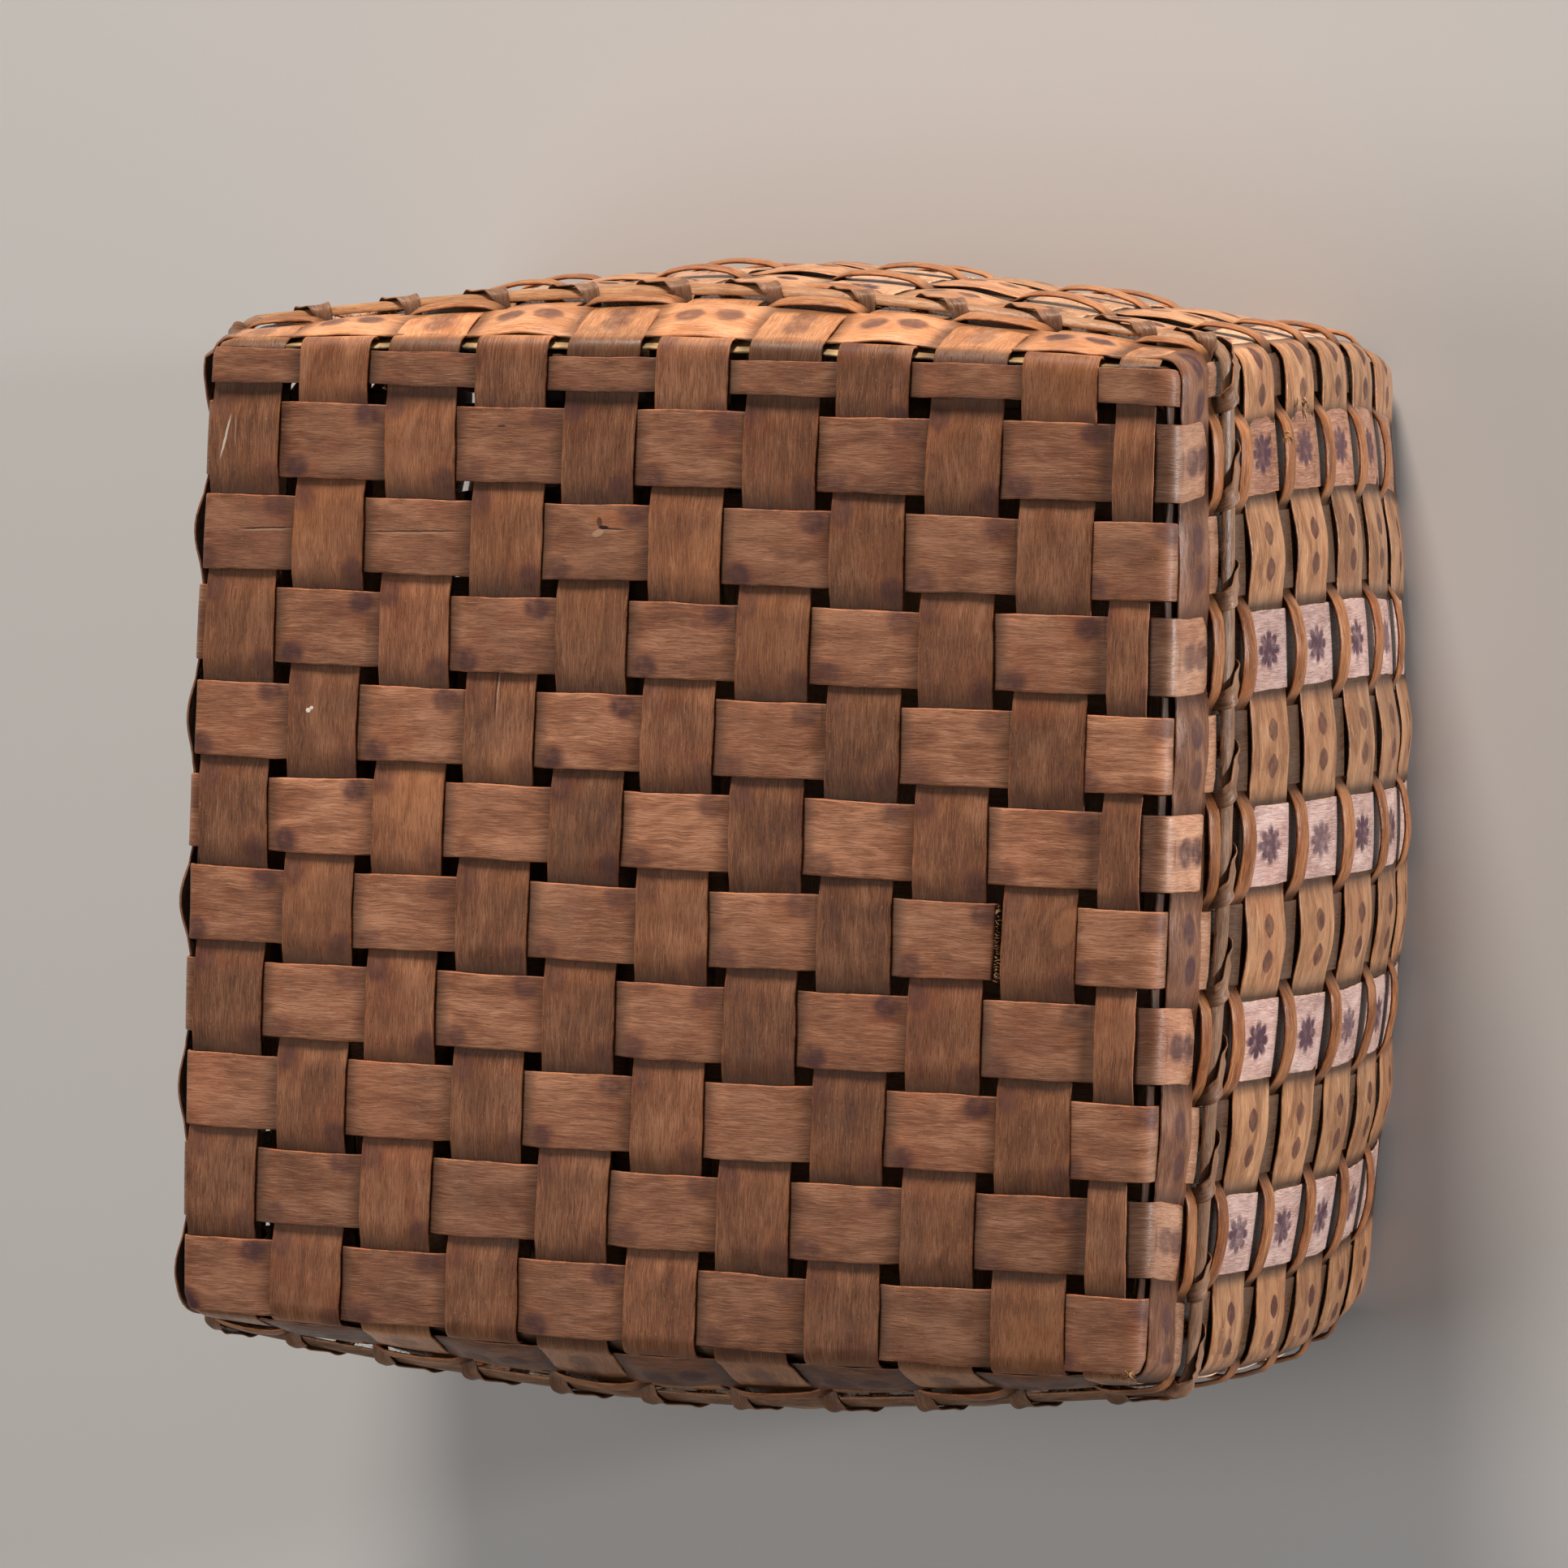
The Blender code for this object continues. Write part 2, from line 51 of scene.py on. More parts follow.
CAMERA_PLACE = (0.6541, 0.0905, 2.2555)
CAMERA_TURN_DEGREES = (-1.2817, 17.3557, 2.0344)
CAMERA_LENS = 149.07
FLOOR_WIDTH = 12.0
LAMPS = {
    "grazing lamp": ((-0.3, 3.3, 1.14), 0.8, 160.0, (1.0, 0.91, 0.82)),
    "right lamp": ((2.0, 0.35, 0.16), 0.16, 42.0, (0.97, 0.98, 1.0)),
    "overhead lamp": ((-0.46, -0.12, 1.7), 0.6, 7.5, (1.0, 0.98, 0.96)),
    "front lamp": ((-1.7, -1.9, 0.9), 1.4, 1.2, (1.0, 1.0, 1.0)),
}
LAMP_AIM = Vector((0.0, 0.0, 0.16))
ROOM_STRENGTH = 0.105
FLOOR_COLOUR = (0.57, 0.56, 0.55, 1.0)
SKY_COLOUR = (0.54, 0.55, 0.56, 1.0)

scene = bpy.context.scene
scene.view_settings.view_transform = "Standard"


def placed(name, data):
    thing = bpy.data.objects.new(name, data)
    scene.collection.objects.link(thing)
    return thing


def fitting(tree, kind, plugs=(), **settings):
    """A node with its settings, and with plugs, {input: value or output socket}."""
    made = tree.nodes.new(kind)
    for setting, value in settings.items():
        setattr(made, setting, value)
    for place, plug in dict(plugs).items():
        if isinstance(plug, bpy.types.NodeSocket):
            tree.links.new(plug, made.inputs[place])
        else:
            made.inputs[place].default_value = plug
    return made


camera = placed("camera", bpy.data.cameras.new("camera"))
camera.location = CAMERA_PLACE
camera.rotation_euler = [math.radians(turn) for turn in CAMERA_TURN_DEGREES]
camera.data.lens = CAMERA_LENS
scene.camera = camera

for lamp_name, (lamp_place, lamp_size, lamp_power, lamp_colour) in LAMPS.items():
    lamp = placed(lamp_name, bpy.data.lights.new(lamp_name, "AREA"))
    lamp.data.shape = "DISK"
    lamp.data.size = lamp_size
    lamp.data.energy = lamp_power
    lamp.data.color = lamp_colour
    lamp.location = lamp_place
    lamp.rotation_euler = (LAMP_AIM - lamp.location).to_track_quat("-Z", "Y").to_euler()

room = bpy.data.worlds.new("pale room")
scene.world = room
room.use_nodes = True
room_tree = room.node_tree
room_tree.nodes.clear()
light_path = fitting(room_tree, "ShaderNodeLightPath")
seen = fitting(
    room_tree,
    "ShaderNodeMath",
    {0: light_path.outputs["Is Camera Ray"], 1: light_path.outputs["Is Glossy Ray"]},
    operation="MAXIMUM",
)
room_light = fitting(room_tree, "ShaderNodeBackground", {"Color": (1, 1, 1, 1), "Strength": ROOM_STRENGTH})
room_sky = fitting(room_tree, "ShaderNodeBackground", {"Color": SKY_COLOUR, "Strength": 1.0})
room_mix = fitting(
    room_tree, "ShaderNodeMixShader", {0: seen.outputs[0], 1: room_light.outputs[0], 2: room_sky.outputs[0]}
)
fitting(room_tree, "ShaderNodeOutputWorld", {"Surface": room_mix.outputs[0]})

floor_mesh = bpy.data.meshes.new("floor")
floor_half = FLOOR_WIDTH / 2
floor_corners = [(-floor_half, -floor_half, 0), (floor_half, -floor_half, 0)]
floor_corners += [(floor_half, floor_half, 0), (-floor_half, floor_half, 0)]
floor_mesh.from_pydata(floor_corners, [], [(0, 1, 2, 3)])
floor_finish = bpy.data.materials.new("floor paint")
floor_finish.use_nodes = True
floor_shader = floor_finish.node_tree.nodes["Principled BSDF"]
floor_shader.inputs["Base Color"].default_value = FLOOR_COLOUR
floor_shader.inputs["Roughness"].default_value = 0.9
floor_mesh.materials.append(floor_finish)
placed("floor", floor_mesh)

# Body splints
# Twenty-two flat splints of black ash, split along the growth rings and under a millimetre thick,
# cross over and under as the base, bend up at the foot and run up the walls as uprights to the rim.
# Most patches that show carry a soft round spot or a lobed one, pressed on with a stamp.

SPLINT_THICKNESS = 0.0009
SPLINT_WIDTH = 0.0244
SPLINT_PITCH = 0.0305
SPLINT_COUNT = 11
FIRST_PLACES = (-0.1468, -0.1488)
LAST_PLACES = (0.1515, 0.1505)
LAST_WIDTHS = (0.0110, 0.0130)
HALF_RUNS = (0.1535, 0.1565)
WEAVE_RISE = 0.00095
WALL_RISE = 0.00100
FACE_CHANGE = 0.0065
SPLINT_CUP = 0.00012
SPLINT_BULGE = 0.0003
SPLINT_RIPPLE = 0.0005
SPLINT_DRIFT = 0.0004
RAGGED = 0.00028
FINE_RAGGED = RAGGED * 0.3
KNEE_TUCK = 0.0004
TORN_EDGE = 0.0007
BASE_LEVEL = 0.0020
BASE_HOLLOW = 0.0016
BASE_HOLLOW_HALF = 0.15
BASE_SCALE = 1.051
BASE_WIDENING = 1.07
LAST_BASE_WIDENING = 1.32
OUTERMOST_SHARE = 0.9
OUTERMOST_BOW = 0.0118
BOW_POWER = 1.6
FOOT_HEIGHT = 0.01045
SHOULDER_HEIGHT = 0.2286
NECK_HEIGHTS = (0.2362, 0.2378)
BODY_TOP = 0.2502
BODY_BEND = 0.0090
BODY_RADIUS = 0.0080
LID_HALVES = (0.1625, 0.1595)
BASE_HALVES = (0.1720, 0.1693)
SHOULDER_OUTS = ((0.0040, 0.0060), (0.0110, 0.0205))
BELLY_OUTS = ((0.0050, 0.0050), (0.0115, 0.0140))
FOOT_OUTS = ((-0.0020, -0.0020), (0.0095, 0.0075))
LID_RIM_OUTS = ((0.0045, 0.0060), (0.0095, 0.0198))
NECK_DEPTHS = {0.2326: 0.00515, 0.2342: 0.0131, 0.2364: 0.0131, 0.2512: 0.0136}
BODY_LEAN = np.array((0.0017, 0.0036))
BODY_TWIST = 0.0098
NARROW_WEAVER_WIDTH = 0.0095
SHOULDER_PASS = (0.2240, 0.004)
RIM_PASS = (0.2440, 0.006)
BROWNER_UPRIGHT = (0, 10)
FAINT_CHANCE = 0.15
FAINT_PRINT = 0.12
BAND_WIDTH = 0.0035
BAND_FADE = 0.0016
RIM_FADE = 0.033
SHADE_TONE = (38, 22, 14)
DEEPEST_SHADE = 0.86
INNER_SHADES = (0.45, 0.32)
BODY_SHADE = 1.1
LOW_GLOSS = 0.14
BROWNING_AND_SHADE_WAVER = 0.008
X_WALL_ZONE = (((1, 0, 0), (-1, 0, 0)), 0.1660, 0.1760)
BODY_TONES = {
    "dark": (158, 110, 78),
    "middle": (196, 146, 108),
    "light": (220, 176, 138),
    # On the ±X walls the uprights turn pale pinkish grey: weathered ash with a painted sheen in it.
    "old dark": (146, 112, 102),
    "old": (184, 150, 140),
    "old light": (212, 182, 172),
}

STEPS = [SPLINT_PITCH * number for number in range(SPLINT_COUNT - 1)]
PLACES = [[first + step for step in STEPS] + [last] for first, last in zip(FIRST_PLACES, LAST_PLACES)]
WIDTHS = [[SPLINT_WIDTH for step in STEPS] + [last] for last in LAST_WIDTHS]
MIDDLE = np.array((0, 0, 0.14))
OUTWARD = np.array([(1, 0, 0), (0, 1, 0), (-1, 0, 0), (0, -1, 0)], float)
ALONG = np.array([(0, 1, 0), (-1, 0, 0), (0, -1, 0), (1, 0, 0)], float)
RIM_SHARE = 0.955
ACROSS = np.array([-1, -0.988, -0.955, -0.6, -0.3, 0, 0.3, 0.6, 0.955, 0.988, 1])
FULLNESS = np.array([0, 0.78, 1, 1, 1, 1, 1, 1, 1, 0.78, 0])


class Wall:
    """Outline of a woven wall at every height: its halves at the corners and at mid-span."""

    def __init__(self, body, heights, corners, middles, radius, smoothing=0):
        self.body = body
        table = np.column_stack([heights, corners, middles]).astype(float)
        if smoothing:
            steps = np.r_[0, np.cumsum(np.linalg.norm(np.diff(table[:, :2], axis=0), axis=1))]
            fine = np.arange(0, steps[-1], smoothing / 4)
            table = np.column_stack([np.interp(fine, steps, column) for column in table.T])
            bell = np.exp(-0.5 * (np.arange(-8, 9) / 4) ** 2)
            padded = np.pad(table, ((8, 8), (0, 0)), "reflect", reflect_type="odd")
            table = np.column_stack([np.convolve(column, bell / bell.sum(), "valid") for column in padded.T])
        self.table = table
        self.radius = radius

    def halves(self, height):
        found = [np.interp(height, self.table[:, 0], self.table[:, column]) for column in range(1, 5)]
        return found[:2], found[2:]

    def place(self, side, share, height, turn=0.0, shift=0.0):
        """A wall point: side 0 to 3 from +X anticlockwise, share along it, shift in metres on top,
        and turn, the angle round the corner that follows."""
        corners, middles = self.halves(height)
        corner, middle = corners[side % 2], middles[side % 2]
        run = corners[1 - side % 2] - self.radius
        lateral = run * share + shift
        reach = np.clip(np.abs(lateral) / run, 0, 1)
        excess = np.maximum(np.abs(lateral) - run, 0) / self.radius
        angle = np.clip(excess, 0, math.pi / 2) + turn
        bow = (middle - corner) * (1 - reach**BOW_POWER)
        out = corner - self.radius + self.radius * np.cos(angle) + bow
        beyond = np.sign(lateral) * self.radius * np.sin(angle)
        lateral = np.clip(lateral, -run, run) + beyond
        place = np.stack(np.broadcast_arrays(out, lateral, height), -1)
        ways = np.stack([OUTWARD[side], ALONG[side], np.array((0.0, 0.0, 1.0))])
        return place @ ways


def body_wall():
    """The belly from foot to shoulder, then the ledge under the lid and the neck inside it."""
    rises = np.linspace(0, 1, 24)
    swell = np.sin(np.pi * rises**0.85)
    columns = {"corner": [], "middle": []}
    for index, kind in enumerate(columns):
        for axis in (0, 1):
            foot = BASE_HALVES[axis] + FOOT_OUTS[index][axis]
            top = LID_HALVES[axis] + SHOULDER_OUTS[index][axis]
            columns[kind].append(foot + (top - foot) * rises + BELLY_OUTS[index][axis] * swell)
    heights = list(FOOT_HEIGHT + (SHOULDER_HEIGHT - FOOT_HEIGHT) * rises)
    corners = np.column_stack(columns["corner"]).tolist()
    middles = np.column_stack(columns["middle"]).tolist()
    for height, depth in NECK_DEPTHS.items():
        heights.append(height)
        corners.append([LID_HALVES[axis] + LID_RIM_OUTS[0][axis] - depth for axis in (0, 1)])
        middles.append([LID_HALVES[axis] + LID_RIM_OUTS[1][axis] - depth for axis in (0, 1)])
    return Wall("basket", heights, np.array(corners), np.array(middles), BODY_RADIUS, smoothing=0.0022)


def leaned(points):
    """The body leans and twists a little, most at its base and nothing at the shoulder."""
    share = np.clip(1 - points[..., 2:] / SHOULDER_HEIGHT, 0, 1)
    x, y = points[..., 0:1], points[..., 1:2]
    moved = points.copy()
    moved[..., :2] += share * (BODY_LEAN + BODY_TWIST * np.concatenate([-y, x], -1))
    return moved


def wander(seed, places, length, size):
    """A smooth irregularity along a splint, the same each time for one seed."""
    draws = np.random.default_rng(seed).uniform(0, 2 * math.pi, 4)
    total = 0.0
    for draw, ratio, share in zip(draws, (1.0, 0.57, 0.31, 0.17), (0.55, 0.4, 0.3, 0.15)):
        total = total + share * np.sin(places * (2 * math.pi / (length * ratio)) + draw)
    return total * size


def weave_height(places, middles, signs, change):
    """+1 where the strip passes over and -1 where it passes under, easing between crossings."""
    height = np.full(np.shape(places), float(signs[0]))
    for here, there, low, high in zip(middles, middles[1:], signs, signs[1:]):
        part = np.clip((places - (here + there) / 2) / (2 * change) + 0.5, 0, 1)
        height = height + (high - low) * (0.5 - 0.5 * np.cos(math.pi * part))
    return height


def sheet_of_strip(name, points, length_places, across_places, layers, ring=False, breaks=()):
    """An open sheet of quads through points[station, across], with its UV in metres.
    It is parted after each station listed in breaks."""
    stations, width = points.shape[:2]
    following = np.roll(np.arange(stations), -1)
    rows = np.array([row for row in range(stations if ring else stations - 1) if row not in breaks])
    runs = rows[:, None]
    lanes = np.arange(width - 1)[None, :]
    low = runs * width + lanes
    high = following[rows][:, None] * width + lanes
    quads = np.stack([low, high, high + 1, low + 1], -1)
    along = np.append(length_places, length_places[-1] + (length_places[-1] - length_places[-2]))
    u_values = np.broadcast_arrays(along[runs], along[runs + 1], along[runs + 1], along[runs], lanes)
    u_values = np.stack(u_values[:4], -1)
    v_places = np.broadcast_to(across_places, (stations, width))
    v_next = v_places[following[rows]]
    v_here = v_places[rows]
    v_values = np.stack([v_here[:, :-1], v_next[:, :-1], v_next[:, 1:], v_here[:, 1:]], -1)
    here = points[rows]
    edges = np.cross(points[following[rows], :-1] - here[:, :-1], here[:, 1:] - here[:, :-1])
    from_centre = here[:, :-1] - MIDDLE
    if np.sum(edges * from_centre) < 0:
        quads = quads[..., ::-1]
        u_values = u_values[..., ::-1]
        v_values = v_values[..., ::-1]
    mesh = bpy.data.meshes.new(name)
    mesh.from_pydata(points.reshape(-1, 3).tolist(), [], quads.reshape(-1, 4).tolist())
    uv_layer = mesh.uv_layers.new(name="UVMap")
    uv_layer.data.foreach_set("uv", np.stack([u_values, v_values], -1).reshape(-1).astype(np.float32))
    for layer, values in layers.items():
        kind = "FLOAT_VECTOR" if np.ndim(values) == 3 else "FLOAT"
        attribute = mesh.attributes.new(layer, kind, "POINT")
        key = "vector" if kind == "FLOAT_VECTOR" else "value"
        attribute.data.foreach_set(key, np.ascontiguousarray(values, np.float32).reshape(-1))
    return mesh


def sum_of(tree, operation, *terms):
    """The output of a math node for its operation on the terms."""
    plugs = {index: term for index, term in enumerate(terms)}
    return fitting(tree, "ShaderNodeMath", plugs, operation=operation).outputs[0]


def vector_sum(tree, operation, first, second):
    """The outputs of a vector math node: 0 holds a vector and Value a number."""
    return fitting(tree, "ShaderNodeVectorMath", {0: first, 1: second}, operation=operation).outputs


def scaled(tree, vector, amount):
    return fitting(tree, "ShaderNodeVectorMath", {0: vector, "Scale": amount}, operation="SCALE").outputs[0]


def new_tree(name, inputs, output):
    """A Geometry Nodes tree with named inputs, its input node and a way to end it."""
    tree = bpy.data.node_groups.new(name, "GeometryNodeTree")
    for label, kind, value in inputs:
        socket = tree.interface.new_socket(label, in_out="INPUT", socket_type=kind)
        if value is not None:
            socket.default_value = value
    tree.interface.new_socket(output, in_out="OUTPUT", socket_type="NodeSocketGeometry")
    start = tree.nodes.new("NodeGroupInput")
    end = tree.nodes.new("NodeGroupOutput")
    return tree, start.outputs, end


def finished(tree, geometry, finish, end):
    """Ends a tree with Realize Instances and Set Material."""
    real = fitting(tree, "GeometryNodeRealizeInstances", {0: geometry})
    painted = fitting(tree, "GeometryNodeSetMaterial", {0: real.outputs[0], "Material": finish})
    tree.links.new(painted.outputs[0], end.inputs[0])


def strip_tree():
    """Gives a sheet the thickness of a splint, thin at its rims, so that it closes into one body."""
    tree, given, end = new_tree(
        "strip thickness",
        [
            ("Sheet", "NodeSocketGeometry", None),
            ("Thickness", "NodeSocketFloat", SPLINT_THICKNESS),
            ("Outer Share", "NodeSocketFloat", 0.5),
            ("Ripple", "NodeSocketFloat", 0.0),
            ("Ripple Scale", "NodeSocketFloat", 40.0),
            ("Seed", "NodeSocketFloat", 0.0),
            ("Finish", "NodeSocketMaterial", None),
        ],
        "Strip",
    )
    normal = fitting(tree, "GeometryNodeInputNormal").outputs[0]
    noise = fitting(
        tree,
        "ShaderNodeTexNoise",
        {"W": given["Seed"], "Scale": given["Ripple Scale"], "Detail": 2.0},
        noise_dimensions="4D",
    )
    ripple = sum_of(tree, "MULTIPLY", sum_of(tree, "SUBTRACT", noise.outputs[0], 0.5), given["Ripple"])
    fullness = fitting(tree, "GeometryNodeInputNamedAttribute", {"Name": "fullness"}, data_type="FLOAT")
    depth = sum_of(tree, "MULTIPLY", fullness.outputs[0], given["Thickness"])
    outer = sum_of(tree, "MULTIPLY", depth, given["Outer Share"])
    inner = sum_of(tree, "SUBTRACT", outer, depth)

    def pushed(sheet, amount):
        """The sheet, moved along its normals."""
        plugs = {0: sheet, "Offset": scaled(tree, normal, amount)}
        return fitting(tree, "GeometryNodeSetPosition", plugs).outputs[0]

    rippled = pushed(given["Sheet"], ripple)
    faces = []
    for amount, is_inner in ((outer, 0.0), (inner, 1.0)):
        marked = fitting(
            tree,
            "GeometryNodeStoreNamedAttribute",
            {0: pushed(rippled, amount), "Name": "inner_face", "Value": is_inner},
            data_type="FLOAT",
            domain="FACE",
        )
        faces.append(marked.outputs[0])
    turned = fitting(tree, "GeometryNodeFlipFaces", {0: faces[1]})
    joined = fitting(tree, "GeometryNodeJoinGeometry")
    tree.links.new(faces[0], joined.inputs[0])
    tree.links.new(turned.outputs[0], joined.inputs[0])
    closed = fitting(tree, "GeometryNodeMergeByDistance", {0: joined.outputs[0], "Distance": 0.000002})
    smooth = fitting(tree, "GeometryNodeSetShadeSmooth", {0: closed.outputs[0]})
    finished(tree, smooth.outputs[0], given["Finish"], end)
    return tree


def grown(thing, tree, settings):
    """Runs a tree on an object and keeps the result as its plain mesh."""
    modifier = thing.modifiers.new("growth", "NODES")
    modifier.node_group = tree
    sockets = {item.name: item.identifier for item in tree.interface.items_tree if item.in_out == "INPUT"}
    for label, value in settings.items():
        modifier[sockets[label]] = value
    bpy.context.view_layer.update()
    evaluated = thing.evaluated_get(bpy.context.evaluated_depsgraph_get())
    mesh = bpy.data.meshes.new_from_object(evaluated)
    thing.modifiers.remove(modifier)
    spare = thing.data
    thing.data = mesh
    mesh.name = thing.name
    bpy.data.meshes.remove(spare)
    return thing


STRIP_TREE = strip_tree()


def colour(red, green, blue):
    """A colour given as it looks on a screen, 0 to 255."""
    return tuple((value / 255) ** 2.2 for value in (red, green, blue)) + (1.0,)


def effect_group(name, inputs, outputs):
    tree = bpy.data.node_groups.new(name, "ShaderNodeTree")
    for way, labels in (("INPUT", inputs), ("OUTPUT", outputs)):
        for label, kind in labels:
            tree.interface.new_socket(label, in_out=way, socket_type="NodeSocket" + kind)
    return tree, tree.nodes.new("NodeGroupInput").outputs, tree.nodes.new("NodeGroupOutput").inputs


def clamped(tree, value, low, high, floor=0.0, ceiling=1.0):
    """Eases from floor to ceiling while the value goes from low to high."""
    plugs = {"Value": value, "From Min": low, "From Max": high, "To Min": floor, "To Max": ceiling}
    return fitting(tree, "ShaderNodeMapRange", plugs, interpolation_type="SMOOTHSTEP").outputs[0]


def stretched_noise(tree, place, scale, detail=3.0, roughness=0.5, distortion=0.0):
    stretch = vector_sum(tree, "MULTIPLY", place, scale)[0]
    plugs = {"Vector": stretch, "Scale": 1.0, "Detail": detail, "Roughness": roughness}
    plugs["Distortion"] = distortion
    return fitting(tree, "ShaderNodeTexNoise", plugs).outputs[0]


def mixed(tree, amount, first, second):
    return fitting(tree, "ShaderNodeMix", {0: amount, 6: first, 7: second}, data_type="RGBA").outputs[2]


def parts_of(tree, vector):
    return fitting(tree, "ShaderNodeSeparateXYZ", {0: vector}).outputs


def stored(tree, layer, kind="Vector"):
    return fitting(tree, "ShaderNodeAttribute", attribute_name=layer).outputs[kind]


def tinted(tree, wood, mask, strength, tone):
    """The wood with a tone laid over it where the mask is."""
    return mixed(tree, sum_of(tree, "MULTIPLY", mask, strength), wood, tone)


def tones_of(tones, label):
    """A finish's own tone, or the one that follows from its middle tone."""
    red, green, blue = tones["old"] if "old" in tones else tones["middle"]
    follows = {
        "red": (red * 1.08, green * 0.92, blue * 0.86),
        "grey": (red * 0.97 + 8, green * 1.03 + 12, blue * 1.08 + 14),
        "pore": (red * 0.52, green * 0.45, blue * 0.42),
        "fleck": (red * 0.6 + 95, green * 0.6 + 88, blue * 0.6 + 78),
        "rim": (min(red * 1.42, 240), green * 1.28, blue * 1.08),
    }
    return colour(*tones.get(label, follows[label]))


def ash_grain_group():
    """Wavy fibres, short open pores, pale flecks and slow mottling, all running along the splint."""
    tree, given, out = effect_group(
        "ash grain",
        [("Place", "Vector")],
        [(label, "Float") for label in ("Mottle", "Fibre", "Pores", "Flecks", "Height")],
    )
    sway = stretched_noise(tree, given["Place"], (110.0, 90.0, 1.0), 2.0, 0.5)
    across = sum_of(tree, "MULTIPLY", sum_of(tree, "SUBTRACT", sway, 0.5), 0.0020)
    bend = fitting(tree, "ShaderNodeCombineXYZ", {1: across}).outputs[0]
    place = vector_sum(tree, "ADD", given["Place"], bend)[0]
    mottle = stretched_noise(tree, place, (38.0, 120.0, 1.0), 2.0, 0.62, 0.6)
    fibre = stretched_noise(tree, place, (150.0, 3200.0, 1.0), 3.0, 0.68)
    pore_noise = stretched_noise(tree, place, (420.0, 3100.0, 7.0), 1.0, 0.5)
    fleck_noise = stretched_noise(tree, place, (800.0, 1700.0, 3.0), 1.0, 0.5)
    pores = clamped(tree, pore_noise, 0.62, 0.74)
    flecks = clamped(tree, fleck_noise, 0.70, 0.76)
    height = sum_of(tree, "MULTIPLY_ADD", pores, -0.5, fibre)
    made = {"Mottle": mottle, "Fibre": fibre, "Pores": pores, "Flecks": flecks, "Height": height}
    for label, value in made.items():
        tree.links.new(value, out[label])
    return tree


def spot_print_group():
    """A pair of soft stamped spots on a patch, one on each side of its middle."""
    tree, given, out = effect_group(
        "spot print",
        [
            ("Place", "Vector"),
            ("Centre", "Vector"),
            ("Size", "Vector"),
            ("Lobes", "Float"),
            ("Lobe Depth", "Float"),
            ("Pointed", "Float"),
            ("Softness", "Float"),
        ],
        [("Mask", "Float")],
    )
    flat = vector_sum(tree, "MULTIPLY", given["Place"], (1, 1, 0))[0]
    mirrored = scaled(tree, flat, sum_of(tree, "SIGN", parts_of(tree, flat)[0]))
    spot = vector_sum(tree, "SUBTRACT", mirrored, given["Centre"])[0]
    spot = vector_sum(tree, "DIVIDE", spot, given["Size"])[0]
    parts = parts_of(tree, spot)
    distance = fitting(tree, "ShaderNodeVectorMath", {0: spot}, operation="LENGTH").outputs["Value"]
    point = sum_of(tree, "MULTIPLY", parts[0], parts[0])
    lens = sum_of(tree, "ADD", sum_of(tree, "ABSOLUTE", parts[1]), point)
    shape = fitting(tree, "ShaderNodeMix", {0: given["Pointed"], 2: distance, 3: lens}).outputs[0]
    angle = sum_of(tree, "ARCTAN2", parts[1], parts[0])
    lobe = sum_of(tree, "COSINE", sum_of(tree, "MULTIPLY", angle, given["Lobes"]))
    petal = sum_of(tree, "POWER", sum_of(tree, "ABSOLUTE", lobe), 0.6)
    swell = sum_of(tree, "MULTIPLY_ADD", sum_of(tree, "SUBTRACT", petal, 0.7), given["Lobe Depth"], 1.0)
    rough = stretched_noise(tree, given["Place"], (330.0, 330.0, 60.0), 3.0, 0.6)
    edge = sum_of(tree, "DIVIDE", shape, swell)
    edge = sum_of(tree, "MULTIPLY_ADD", sum_of(tree, "SUBTRACT", rough, 0.5), 0.45, edge)
    nearer = sum_of(tree, "SUBTRACT", 1.0, given["Softness"])
    further = sum_of(tree, "ADD", 1.0, given["Softness"])
    mask = clamped(tree, edge, nearer, further, 1.0, 0.0)
    blots = stretched_noise(tree, given["Place"], (260.0, 260.0, 40.0), 3.0)
    printed = sum_of(tree, "MULTIPLY", mask, clamped(tree, blots, 0.25, 0.6, 0.62, 1.0))
    tree.links.new(printed, out["Mask"])
    return tree


def line_mark_group():
    """A crack, scratch or knot on the lid's face: a fine wavering line or a small oval."""
    tree, given, out = effect_group(
        "line mark",
        [
            ("Place", "Vector"),
            ("Centre", "Vector"),
            ("Way", "Vector"),
            ("Half Length", "Float"),
            ("Half Width", "Float"),
        ],
        [("Mask", "Float")],
    )
    flat = vector_sum(tree, "MULTIPLY", given["Place"], (1, 1, 0))[0]
    away = vector_sum(tree, "SUBTRACT", flat, given["Centre"])[0]
    along = vector_sum(tree, "DOT_PRODUCT", away, given["Way"])["Value"]
    beside = parts_of(tree, vector_sum(tree, "CROSS_PRODUCT", away, given["Way"])[0])[2]
    waver = stretched_noise(tree, given["Place"], (420.0, 420.0, 40.0), 2.0)
    waver = sum_of(tree, "MULTIPLY", sum_of(tree, "SUBTRACT", waver, 0.5), 0.0005)
    beside = sum_of(tree, "ABSOLUTE", sum_of(tree, "ADD", beside, waver))
    across_share = sum_of(tree, "DIVIDE", beside, given["Half Width"])
    along_share = sum_of(tree, "DIVIDE", sum_of(tree, "ABSOLUTE", along), given["Half Length"])
    across_square = sum_of(tree, "MULTIPLY", across_share, across_share)
    reach = sum_of(tree, "MULTIPLY_ADD", along_share, along_share, across_square)
    tree.links.new(clamped(tree, reach, 0.3, 1.0, 1.0, 0.0), out["Mask"])
    return tree


ASH_GRAIN = ash_grain_group()
SPOT_PRINT = spot_print_group()
LINE_MARK = line_mark_group()


